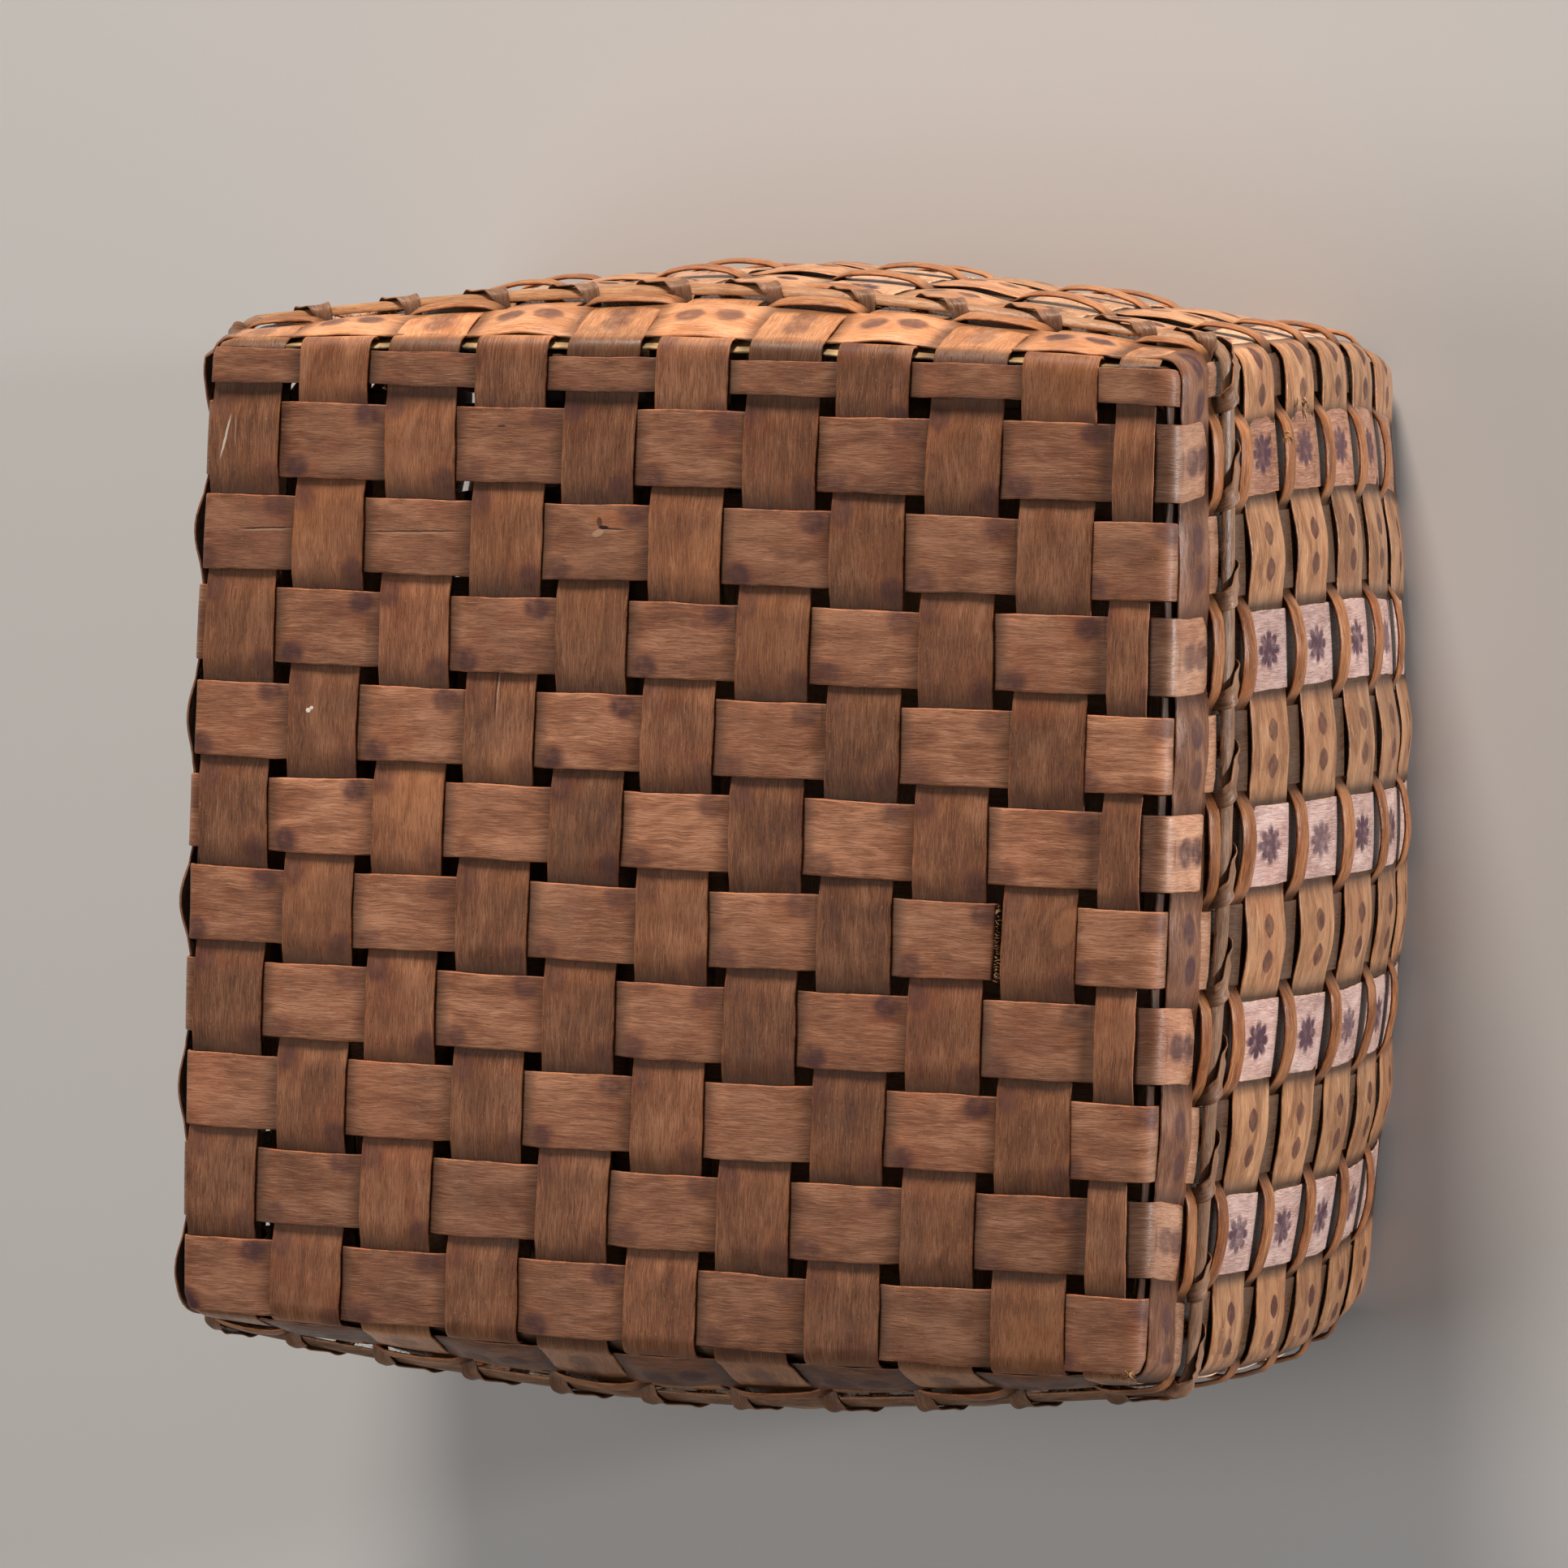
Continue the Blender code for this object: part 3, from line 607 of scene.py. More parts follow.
def spot_mask(tree, patch, centre, size, strength, lobes=0.0, depth=0.0, pointed=0.0, softness=0.3):
    """Where a patch is stamped: round spots, lobed ones or pointed ones."""
    plugs = {"Place": patch, "Centre": centre, "Size": size, "Lobes": lobes, "Lobe Depth": depth}
    plugs.update({"Pointed": pointed, "Softness": softness})
    group = fitting(tree, "ShaderNodeGroup", plugs, node_tree=SPOT_PRINT)
    return sum_of(tree, "MULTIPLY", group.outputs["Mask"], strength)


def wood_ramp(tree, depth, tones, labels):
    """Colour of the wood from its dark grain to its light grain."""
    dark, middle, light = [colour(*tones[label]) for label in labels]
    ramp = fitting(tree, "ShaderNodeValToRGB", {0: depth})
    ramp.color_ramp.elements[0].color = dark
    ramp.color_ramp.elements[1].color = light
    ramp.color_ramp.elements.new(0.5).color = middle
    return ramp.outputs[0]


def browning_and_shade_mask(tree, here, cloud, sheltered, zone):
    """Where the wood takes its old tones, from low to high, in metres, along any of the zone's ways: browning
    and weathering, with painted shade in them on the lid's dark lining and on the -Y side of the rims and the
    lid's weaver.
    """
    ways, low, high = zone
    reach = 0.0
    for way in ways:
        reach = sum_of(tree, "MAXIMUM", vector_sum(tree, "DOT_PRODUCT", here, way)["Value"], reach)
    reach = sum_of(tree, "MULTIPLY_ADD", cloud, BROWNING_AND_SHADE_WAVER, reach)
    open_share = sum_of(tree, "SUBTRACT", 1.0, sheltered)
    return sum_of(tree, "MULTIPLY", clamped(tree, reach, low, high), open_share)


def with_lines(tree, wood, here, where, lines):
    """The wood with its cracks, scratches and specks, with painted shade in the cracks and a painted
    highlight beside some of them, and how deep they have sunk.
    """
    sunk = 0.0
    for centre, turn, half_length, half_width, tone, strength, depth_share in lines:
        way = (math.cos(math.radians(turn)), math.sin(math.radians(turn)), 0.0)
        plugs = {"Place": here, "Centre": (*centre, 0.0), "Way": way}
        plugs.update({"Half Length": half_length, "Half Width": half_width})
        line = fitting(tree, "ShaderNodeGroup", plugs, node_tree=LINE_MARK)
        mask = sum_of(tree, "MULTIPLY", line.outputs["Mask"], where)
        wood = tinted(tree, wood, mask, strength, colour(*tone))
        sunk = sum_of(tree, "MULTIPLY_ADD", mask, depth_share, sunk)
    return wood, sunk


def shade_mask(tree, under, inner, outer, depth_shade):
    """Shade where a strip dives under, and on the side that faces the inside of the basket."""
    shade = sum_of(tree, "MULTIPLY", sum_of(tree, "MULTIPLY", under, depth_shade), outer)
    inner_shade = sum_of(tree, "MULTIPLY_ADD", sum_of(tree, "SUBTRACT", 1.0, under), *INNER_SHADES)
    shade = sum_of(tree, "MULTIPLY_ADD", inner_shade, inner, shade)
    return sum_of(tree, "MINIMUM", shade, DEEPEST_SHADE)


def ash_finish(
    name,
    tones,
    bold,
    spot_tone=(66, 42, 46),
    roughness=0.46,
    spot_strength=0.9,
    browning_and_shade_zone=None,
    gloss=0.25,
    depth_shade=0.62,
    side_polish=0.0,
    lines=(),
    faded=0.0,
):
    """Splint finish: grain, browning (painted shade on the lid's lining and its -Y side), stamped spots,
    rims made paler as worn edges with a painted highlight in them, and painted shade where a strip
    dives under and on its inner side. faded says how much of the browning is missing where a strip
    dives under, and lines are marks on the lid's face."""
    material = bpy.data.materials.new(name)
    material.use_nodes = True
    tree = material.node_tree
    shader = tree.nodes["Principled BSDF"]
    uv = fitting(tree, "ShaderNodeUVMap", uv_map="UVMap").outputs[0]
    tone_rim_and_shade_parts = parts_of(tree, stored(tree, "tone_rim_and_shade"))
    patch = stored(tree, "patch")
    chance = parts_of(tree, patch)[2]
    printed = parts_of(tree, stored(tree, "prints"))
    inner = stored(tree, "inner_face", "Fac")
    outer = sum_of(tree, "SUBTRACT", 1.0, inner)
    own = sum_of(tree, "MULTIPLY", tone_rim_and_shade_parts[0], 37.0)
    own = fitting(tree, "ShaderNodeCombineXYZ", {0: own, 1: own, 2: own}).outputs[0]
    place = vector_sum(tree, "ADD", uv, own)[0]
    grain = fitting(tree, "ShaderNodeGroup", {"Place": place}, node_tree=ASH_GRAIN).outputs
    here = fitting(tree, "ShaderNodeTexCoord").outputs["Object"]
    cloud = stretched_noise(tree, here, (16.0, 16.0, 16.0), 4.0, 0.6)
    red_cloud = stretched_noise(tree, here, (31.0, 29.0, 27.0), 3.0, 0.6, 0.5)
    grey_cloud = stretched_noise(tree, here, (43.0, 47.0, 41.0), 4.0, 0.65, 0.8)
    fine_cloud = stretched_noise(tree, here, (260.0, 260.0, 260.0), 3.0, 0.65)
    blend = sum_of(tree, "MULTIPLY", grain["Fibre"], 0.55)
    depth = clamped(tree, sum_of(tree, "MULTIPLY_ADD", grain["Mottle"], 0.45, blend), 0.30, 0.70)
    wood = wood_ramp(tree, depth, tones, ("dark", "middle", "light"))
    browning_and_shade = 0.0
    if browning_and_shade_zone:
        browning_and_shade = browning_and_shade_mask(tree, here, cloud, sum_of(tree, "MULTIPLY", tone_rim_and_shade_parts[2], faded), browning_and_shade_zone)
        wood = mixed(tree, browning_and_shade, wood, wood_ramp(tree, depth, tones, ("old dark", "old", "old light")))
    wood = tinted(tree, wood, clamped(tree, cloud, 0.45, 0.75), 0.35, colour(*tones["dark"]))
    wood = tinted(tree, wood, clamped(tree, red_cloud, 0.5, 0.72), 0.30, tones_of(tones, "red"))
    wood = tinted(tree, wood, clamped(tree, grey_cloud, 0.5, 0.78), 0.34, tones_of(tones, "grey"))
    value = sum_of(tree, "MULTIPLY_ADD", tone_rim_and_shade_parts[0], 0.11, 1.0)
    for swing, amount in ((chance, 0.16), (fine_cloud, 0.22), (grain["Fibre"], 0.75)):
        value = sum_of(tree, "MULTIPLY_ADD", sum_of(tree, "SUBTRACT", swing, 0.5), amount, value)
    wood = fitting(tree, "ShaderNodeHueSaturation", {"Value": value, "Color": wood}).outputs[0]
    wood = tinted(tree, wood, grain["Pores"], 0.34, tones_of(tones, "pore"))
    wood = tinted(tree, wood, grain["Flecks"], 0.45, tones_of(tones, "fleck"))
    smudges = spot_mask(tree, patch, SMUDGE[0], SMUDGE[1], printed[0], *SMUDGE[2])
    halo = spot_mask(tree, patch, SMUDGE[0], SMUDGE_HALO, printed[0], *SMUDGE[2])
    wood = tinted(tree, wood, sum_of(tree, "MULTIPLY", halo, outer), 0.22, tones_of(tones, "red"))
    spots = spot_mask(tree, patch, bold[0], bold[1], printed[1], *bold[2])
    marks = sum_of(tree, "MULTIPLY", sum_of(tree, "MAXIMUM", smudges, spots), outer)
    wood = tinted(tree, wood, marks, spot_strength, colour(*spot_tone))
    band = sum_of(tree, "MULTIPLY", printed[2], sum_of(tree, "MULTIPLY", outer, 0.55))
    wood = tinted(tree, wood, band, clamped(tree, fine_cloud, 0.3, 0.6), tones_of(tones, "grey"))
    wood, sunk = with_lines(tree, wood, here, sum_of(tree, "MULTIPLY", outer, browning_and_shade), lines)
    # Both rims tinted paler and more orange: worn edges with a painted highlight in them.
    rim = sum_of(tree, "MULTIPLY", tone_rim_and_shade_parts[1], clamped(tree, fine_cloud, 0.40, 0.62))
    wood = tinted(tree, wood, rim, 0.6, tones_of(tones, "rim"))
    wood = mixed(tree, shade_mask(tree, tone_rim_and_shade_parts[2], inner, outer, depth_shade), wood, colour(*SHADE_TONE))
    tree.links.new(wood, shader.inputs["Base Color"])
    rough = sum_of(tree, "MULTIPLY_ADD", grain["Mottle"], 0.26, roughness - 0.13)
    if browning_and_shade_zone and side_polish:
        polish = sum_of(tree, "MULTIPLY", sum_of(tree, "SUBTRACT", 1.0, browning_and_shade), side_polish)
        rough = sum_of(tree, "SUBTRACT", rough, polish)
    rough = sum_of(tree, "MULTIPLY_ADD", grain["Pores"], 0.2, rough)
    rough = sum_of(tree, "MULTIPLY_ADD", marks, 0.08, rough)
    tree.links.new(sum_of(tree, "MULTIPLY_ADD", grain["Fibre"], 0.16, rough), shader.inputs["Roughness"])
    relief = sum_of(tree, "MULTIPLY_ADD", grain["Mottle"], 0.9, grain["Height"])
    relief = sum_of(tree, "SUBTRACT", relief, sunk)
    bump = fitting(tree, "ShaderNodeBump", {"Height": relief, "Strength": 0.55, "Distance": 0.00020})
    tree.links.new(bump.outputs[0], shader.inputs["Normal"])
    shader.inputs["Specular IOR Level"].default_value = gloss
    return material


def patch_layers(places, middles, spans, signs, kinds, seed, width_places, rise, tone_shift=0.0):
    """Where each point lies on its visible patch, what is printed there, its tone, its rims and where it
    takes painted shade.
    """
    stations, lanes = width_places.shape
    local = np.zeros(stations)
    chance = np.zeros(stations)
    prints = np.zeros((stations, 3))
    draws = np.random.default_rng(seed)
    for middle, span, sign, kind in zip(middles, spans, signs, kinds):
        drawn = draws.uniform(0, 1, 3)
        inside = np.abs(places - middle) < span
        if sign < 0:
            continue
        local[inside] = (places - middle)[inside]
        chance[inside] = drawn[0]
        strength = 0.40 + 0.60 * drawn[1] if drawn[1] > FAINT_CHANCE else FAINT_PRINT
        prints[inside, 0] = strength if kind == "smudge" else 0.0
        prints[inside, 1] = 0.75 + 0.25 * drawn[1] if kind == "bold" else 0.0
        fade = np.clip(1 - (local + span - BAND_WIDTH) / BAND_FADE, 0, 1)
        prints[inside, 2] = (fade * drawn[2])[inside]
    patch = np.zeros((stations, lanes, 3))
    patch[..., 0] = local[:, None]
    patch[..., 1] = width_places
    patch[..., 2] = chance[:, None]
    tone_rim_and_shade = np.zeros((stations, lanes, 3))
    tone_rim_and_shade[..., 0] = draws.uniform(-1, 1) + tone_shift
    # Nearness to a rim; the finish paints rims paler, as worn edges with a painted highlight in them.
    tone_rim_and_shade[..., 1] = np.clip((np.abs(ACROSS) - RIM_SHARE) / RIM_FADE, 0, 1)
    # Painted shade where the strip dives under another, darkest where it lies deepest.
    tone_rim_and_shade[..., 2] = np.clip(0.45 - 0.9 * rise, 0, 1)[:, None]
    return {"patch": patch, "prints": np.repeat(prints[:, None], lanes, 1), "tone_rim_and_shade": tone_rim_and_shade}


def woven_strip(
    name,
    base,
    places,
    height,
    width_places,
    layers,
    settings,
    body,
    nodes,
    ring=False,
    section=FULLNESS,
    breaks=(),
):
    """A strip woven at a height above its base surface, closed by the strip tree, riding its body."""
    if body == "basket":
        base = leaned(base)
    if ring:
        forward = np.roll(base, -1, 0) - np.roll(base, 1, 0)
    else:
        forward = np.gradient(base, axis=0)
    sideways = np.gradient(base, axis=1)
    normal = np.cross(forward, sideways)
    normal /= np.linalg.norm(normal, axis=2, keepdims=True) + 1e-12
    if np.sum(normal * (base - MIDDLE)) < 0:
        normal = -normal
    points = base + normal * height[..., None]
    fullness = np.repeat(section[None], len(points), 0)
    if not ring:
        fullness[0] = fullness[-1] = 0
    for station in breaks:
        fullness[station : station + 2] = 0
    layers = dict(layers, fullness=fullness)
    thing = placed(name, sheet_of_strip(name, points, places, width_places, layers, ring, breaks))
    grown(thing, STRIP_TREE, settings)
    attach(thing, body)
    if nodes:
        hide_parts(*nodes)
    return thing


def splint_lanes(seed, places, width):
    """Across places of every station: a splint drifts a little and its edges are never quite straight."""
    low = -width / 2 + wander(seed + 1, places, 0.11, RAGGED) + wander(seed + 4, places, 0.019, FINE_RAGGED)
    high = width / 2 + wander(seed + 2, places, 0.13, RAGGED) + wander(seed + 5, places, 0.023, FINE_RAGGED)
    middle = wander(seed + 3, places, 0.31, SPLINT_DRIFT)
    share = (ACROSS + 1) / 2
    return middle[:, None] + low[:, None] * (1 - share) + high[:, None] * share


BODY_WALL = body_wall()
WIDE_WEAVER_BOXES = [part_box(f"body_wide_weaver_{pair}") for pair in range(1, 6)]
NARROW_WEAVER_BOXES = [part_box(f"body_narrow_weaver_{pair}") for pair in range(1, 6)]
WIDE_WEAVER_HEIGHTS = [(low.z, high.z) for low, high in WIDE_WEAVER_BOXES]
NARROW_WEAVER_HEIGHTS = [(low.z, low.z + NARROW_WEAVER_WIDTH) for low, high in NARROW_WEAVER_BOXES]


def upright_is_outside(side, number):
    """Rows of even number pass outside the wide weavers, and columns of odd number."""
    return number % 2 == side % 2


def face_signs(axis, number):
    """Over (+1) or under (-1) at each crossing, from outside: a row is on top where numbers add to even."""
    even, odd = ((1, -1), (-1, 1))[axis]
    return [even if (number + crossed) % 2 == 0 else odd for crossed in range(1, SPLINT_COUNT + 1)]


def flat_stations(axis, share, wall, start, bend, step):
    """Distances from the middle of the face to where a splint starts to bend at its edge."""
    corners, middles = wall.halves(start)
    bow = (middles[axis] - corners[axis]) * (1 - min(abs(share), 1) ** BOW_POWER)
    flat_half = corners[axis] + bow - bend
    return np.append(np.arange(0, flat_half, step), flat_half)


def make_splint(kind, axis, number, width, wall_marks, finish):
    """One splint of a face, from the end of one wall to the end of the other. A wall mark is the
    height of something that the splint meets, half its width, the rise over it and the print."""
    wall, heights, scale = kind["wall"], kind["heights"], kind["scale"]
    centre = (PLACES[0][number - 1], -PLACES[1][number - 1])[axis]
    share = centre / HALF_RUNS[axis]
    flat = flat_stations(axis, share, wall, heights[0], kind["bend"], kind["step"])
    flat_share = flat / flat[-1]
    turns = np.linspace(0, 1, 8)[1:]
    bend_end = len(flat) + len(turns) - 1
    across_count = len(ACROSS)
    seed = kind["seed"] + 100 * axis + number

    def half_path(way, lanes):
        """Points from the middle of the face to the end of one wall; lanes are metres across."""
        side = axis if way > 0 else axis + 2
        shift = lanes * way
        edge = wall.place(side, share * way, np.full(across_count, heights[0]), shift=shift[0])
        outs = (edge @ OUTWARD[side] - kind["bend"])[None] * flat_share[:, None]
        spread = np.sign(centre * way) * (abs(share) > OUTERMOST_SHARE) * kind["outermost_bow"]
        crossings = centre * way * scale + shift[: len(flat)]
        crossings = crossings + spread * (1 - flat_share[:, None] ** BOW_POWER)
        rows = []
        for out, crossing in zip(outs, crossings):
            spot = OUTWARD[side] * out[:, None] + ALONG[side] * crossing[:, None]
            spot[:, 2] = kind["level"](spot[:, 0], spot[:, 1])
            rows.append(spot)
        start = rows[-1]
        edge = wall.place(side, share * way, np.full(across_count, heights[0]), shift=shift[len(flat)])
        knee = edge.copy()
        knee[:, 2] = start[:, 2]
        knee -= OUTWARD[side] * KNEE_TUCK
        for turn in turns:
            rows.append((1 - turn) ** 2 * start + 2 * turn * (1 - turn) * knee + turn**2 * edge)
        for height, lane in zip(heights[1:], shift[bend_end + 1 :]):
            rows.append(wall.place(side, share * way, np.full(across_count, height), shift=lane))
        return np.array(rows)

    middle_line = half_path(1, np.zeros((bend_end + len(heights), across_count)))[:, across_count // 2]
    distances = np.r_[0, np.cumsum(np.linalg.norm(np.diff(middle_line, axis=0), axis=1))]
    far_lanes = splint_lanes(seed, distances, width)
    near_lanes = splint_lanes(seed, -distances, width)
    base = np.concatenate([half_path(-1, near_lanes)[:0:-1], half_path(1, far_lanes)])
    places = np.concatenate([-distances[:0:-1], distances])
    lanes = np.concatenate([near_lanes[:0:-1], far_lanes])
    turn_end = distances[bend_end]
    marks = []
    for crossed, crossed_width, sign in zip(PLACES[1 - axis], WIDTHS[1 - axis], face_signs(axis, number)):
        span = SPLINT_PITCH * scale - crossed_width / 2 if sign > 0 else crossed_width / 2
        marks.append((crossed * scale, span, sign, "smudge"))
    climbs = np.abs(np.array(heights) - heights[0])
    for end in (1, -1):
        for height, half, sign, printed in wall_marks:
            climb = np.interp(abs(height - heights[0]), climbs, distances[bend_end:] - turn_end)
            marks.append((end * (turn_end + climb), half, sign, printed))
    marks.sort()
    middles, spans, signs, prints = [list(items) for items in zip(*marks)]
    rise = weave_height(places, middles, signs, FACE_CHANGE)
    on_face = np.abs(places) < turn_end
    height = rise * np.where(on_face, WEAVE_RISE, WALL_RISE) + wander(seed + 7, places, 0.05, 0.00014)
    cup = SPLINT_CUP * np.sin(seed) * (ACROSS**2 - 0.4)
    bulge = np.where(on_face, 0.0, SPLINT_BULGE)
    height = height[:, None] + cup[None] + bulge[:, None] * (0.5 - ACROSS[None] ** 2)
    tone_shift = kind["tone_shifts"].get((axis, number), 0.0)
    layers = patch_layers(places, middles, spans, signs, prints, seed, lanes, rise, tone_shift)
    breaks = []
    for first, second in kind["breaks"].get((axis, number), ()):
        kept = (places < first) | (places > second)
        station = int(np.sum(places < first)) - 1
        draws = np.random.default_rng(seed + 9)
        base[station, :, axis] += draws.uniform(-TORN_EDGE, TORN_EDGE, across_count)
        base, places, height, lanes = base[kept], places[kept], height[kept], lanes[kept]
        layers = {layer: values[kept] for layer, values in layers.items()}
        breaks.append(station)
    settings = {"Thickness": SPLINT_THICKNESS, "Ripple": SPLINT_RIPPLE, "Ripple Scale": 55.0}
    settings.update({"Seed": float(number), "Finish": finish})
    ending = f"splint_{'xy'[axis]}{number:02d}"
    return woven_strip(
        f"{kind['prefix']}_ash_{ending}",
        base,
        places,
        height,
        lanes,
        layers,
        settings,
        wall.body,
        [f"{kind['prefix']}_{ending}"],
        breaks=breaks,
    )


def base_level(x, y):
    """The base is a little hollow under the middle of the basket."""
    hollow = [np.clip(1 - (way / BASE_HOLLOW_HALF) ** 2, 0, 1) for way in (x, y)]
    return BASE_LEVEL + BASE_HOLLOW * hollow[0] * hollow[1]


SMUDGE = ((0.0119, 0.0088, 0.0), (0.0043, 0.0040, 1.0), (0.0, 0.0, 0.0, 0.42))
SMUDGE_HALO = (0.0078, 0.0072, 1.0)
ROSETTE = ((0.0, 0.0, 0.0), (0.0080, 0.0056, 1.0), (4.0, 0.50, 0.0, 0.22))
BROWNER_TONES = {
    **BODY_TONES,
    "old dark": (118, 78, 60),
    "old": (152, 106, 84),
    "old light": (184, 140, 116),
}
BODY_SPLINT_FINISH, BROWNER_FINISH = [
    ash_finish(
        f"body splint ash {number}",
        tones,
        ROSETTE,
        spot_tone=(72, 48, 58),
        spot_strength=1.1,
        roughness=0.22,
        gloss=LOW_GLOSS,
        depth_shade=BODY_SHADE,
        browning_and_shade_zone=X_WALL_ZONE,
        faded=1.0,
    )
    for number, tones in enumerate((BODY_TONES, BROWNER_TONES))
]

body_heights = list(np.arange(FOOT_HEIGHT, SHOULDER_HEIGHT - 0.0012, 0.0028))
body_heights += list(np.linspace(SHOULDER_HEIGHT, NECK_HEIGHTS[0], 16))
body_heights += list(np.linspace(NECK_HEIGHTS[1], BODY_TOP, 7))
BODY_SPLINTS = {
    "prefix": "body",
    "wall": BODY_WALL,
    "level": base_level,
    "heights": body_heights,
    "bend": BODY_BEND,
    "step": 0.0025,
    "seed": 1000,
    "scale": BASE_SCALE,
    "outermost_bow": OUTERMOST_BOW,
    "breaks": {},
    "tone_shifts": {},
}

for axis in (0, 1):
    for number in range(1, SPLINT_COUNT + 1):
        outside = upright_is_outside(axis, number)
        wall_marks = []
        # A negative rise sinks an upright behind what it meets and also paints it darker as shade.
        for low, high in WIDE_WEAVER_HEIGHTS:
            wall_marks.append(((low + high) / 2, (high - low) / 2 + 0.001, 1 if outside else -1, "bold"))
        for low, high in NARROW_WEAVER_HEIGHTS[:-1]:
            wall_marks.append(((low + high) / 2, (high - low) / 2, 0.35 if outside else -0.45, "none"))
        wall_marks.append((*SHOULDER_PASS, 0.2 if outside else -0.4, "none"))
        wall_marks.append((*RIM_PASS, 0.3 if outside else -0.3, "none"))
        widening = LAST_BASE_WIDENING if number == SPLINT_COUNT else BASE_WIDENING
        width = WIDTHS[axis][number - 1] * widening
        finish = BROWNER_FINISH if (axis, number) == BROWNER_UPRIGHT else BODY_SPLINT_FINISH
        make_splint(BODY_SPLINTS, axis, number, width, wall_marks, finish)

# Body weavers
# Five pairs of ash weavers go round the uprights: a wide one, printed with pointed spots, and a
# narrow plain one above it that passes on the other side of each upright and bows out over it.
# They are laid in one round at a time, and their ends lap inside the wall.

WEAVER_CHANGE = 0.0062
WEAVER_BULGE = 0.0009
NARROW_CHANGE = 0.0052
WEAVER_RAGGED = 0.0004
WEAVER_STEP = 0.0026
SWELL_HALF = 0.021
WEAVER_SPANS = {1: 0.0183, -1: 0.0122}
WEAVER_TRIM = 0.0004
FIRST_WEAVER_DROP = 0.0062
WEAVER_TONES = {
    "dark": (140, 90, 56),
    "middle": (180, 126, 86),
    "light": (208, 158, 116),
    "old dark": (96, 58, 36),
    "old": (142, 98, 66),
    "old light": (186, 140, 104),
}
NARROW_TONES = {
    "dark": (116, 70, 42),
    "middle": (160, 106, 70),
    "light": (190, 138, 98),
    "old dark": (86, 48, 28),
    "old": (134, 84, 52),
    "old light": (174, 122, 84),
}
LENS_SPOTS = ((0.0058, 0.0, 0.0), (0.0040, 0.0040, 1.0), (0.0, 0.0, 0.6, 0.11))
NO_SPOTS = ((0.5, 0.5, 0.0), (0.001, 0.001, 1.0), (0.0, 0.0, 0.0, 0.1))
CORNER_TURNS = np.linspace(0, math.pi / 2, 7)[1:-1]


def wall_crossings(side):
    """Shares along one wall of the middles of its uprights, going anticlockwise, with their numbers."""
    way = 1 if side in (0, 3) else -1
    run = HALF_RUNS[side % 2]
    return sorted((way * place / run, number) for number, place in enumerate(PLACES[side % 2], 1))


class Round:
    """Stations once round a wall at one height, anticlockwise from the start of the +X wall."""

    def __init__(self, wall, height, step):
        self.wall = wall
        self.stations = []
        corners, middles = wall.halves(height)
        for side in range(4):
            count = int(2 * (corners[1 - side % 2] - wall.radius) / step)
            self.stations += [(side, share, 0.0) for share in np.linspace(-1, 1, count)]
            self.stations += [(side, 1.0, turn) for turn in CORNER_TURNS]
        middle = self.surface(np.full((len(self.stations), 1), height))[:, 0]
        gaps = np.linalg.norm(np.diff(middle, axis=0), axis=1)
        self.places = np.r_[0, np.cumsum(gaps)]
        self.length = self.places[-1] + np.linalg.norm(middle[0] - middle[-1])
        self.crossings = []
        for side in range(4):
            own = [index for index, place in enumerate(self.stations) if place[0] == side and place[2] == 0]
            shares = [self.stations[index][1] for index in own]
            for share, number in wall_crossings(side):
                place = np.interp(share, shares, self.places[own])
                self.crossings.append((place, upright_is_outside(side, number), number))

    def surface(self, heights):
        rows = zip(self.stations, heights)
        return np.array([self.wall.place(side, share, row, turn=turn) for (side, share, turn), row in rows])

    def weave(self, over_outside, change, low, high, bow, side_bows=(0.0, 0.0, 0.0, 0.0)):
        """Height off the wall of a weaver that passes over the outside uprights or over the others."""
        sides = np.array([station[0] for station in self.stations])
        signs = [1 if outside == over_outside else -1 for place, outside, number in self.crossings]
        middles = [place for place, outside, number in self.crossings]
        around = [middles[-1] - self.length] + middles + [middles[0] + self.length]
        rise = weave_height(self.places, around, [signs[-1]] + signs + [signs[0]], change)
        height = low + (high - low) * (rise + 1) / 2
        for middle, sign in zip(middles, signs):
            if sign > 0:
                local = (self.places - middle + self.length / 2) % self.length - self.length / 2
                swell = np.cos(np.clip(local / SWELL_HALF, -1, 1) * math.pi / 2) ** 2
                height = height + (bow + np.array(side_bows)[sides]) * swell
        return rise, height, middles, signs


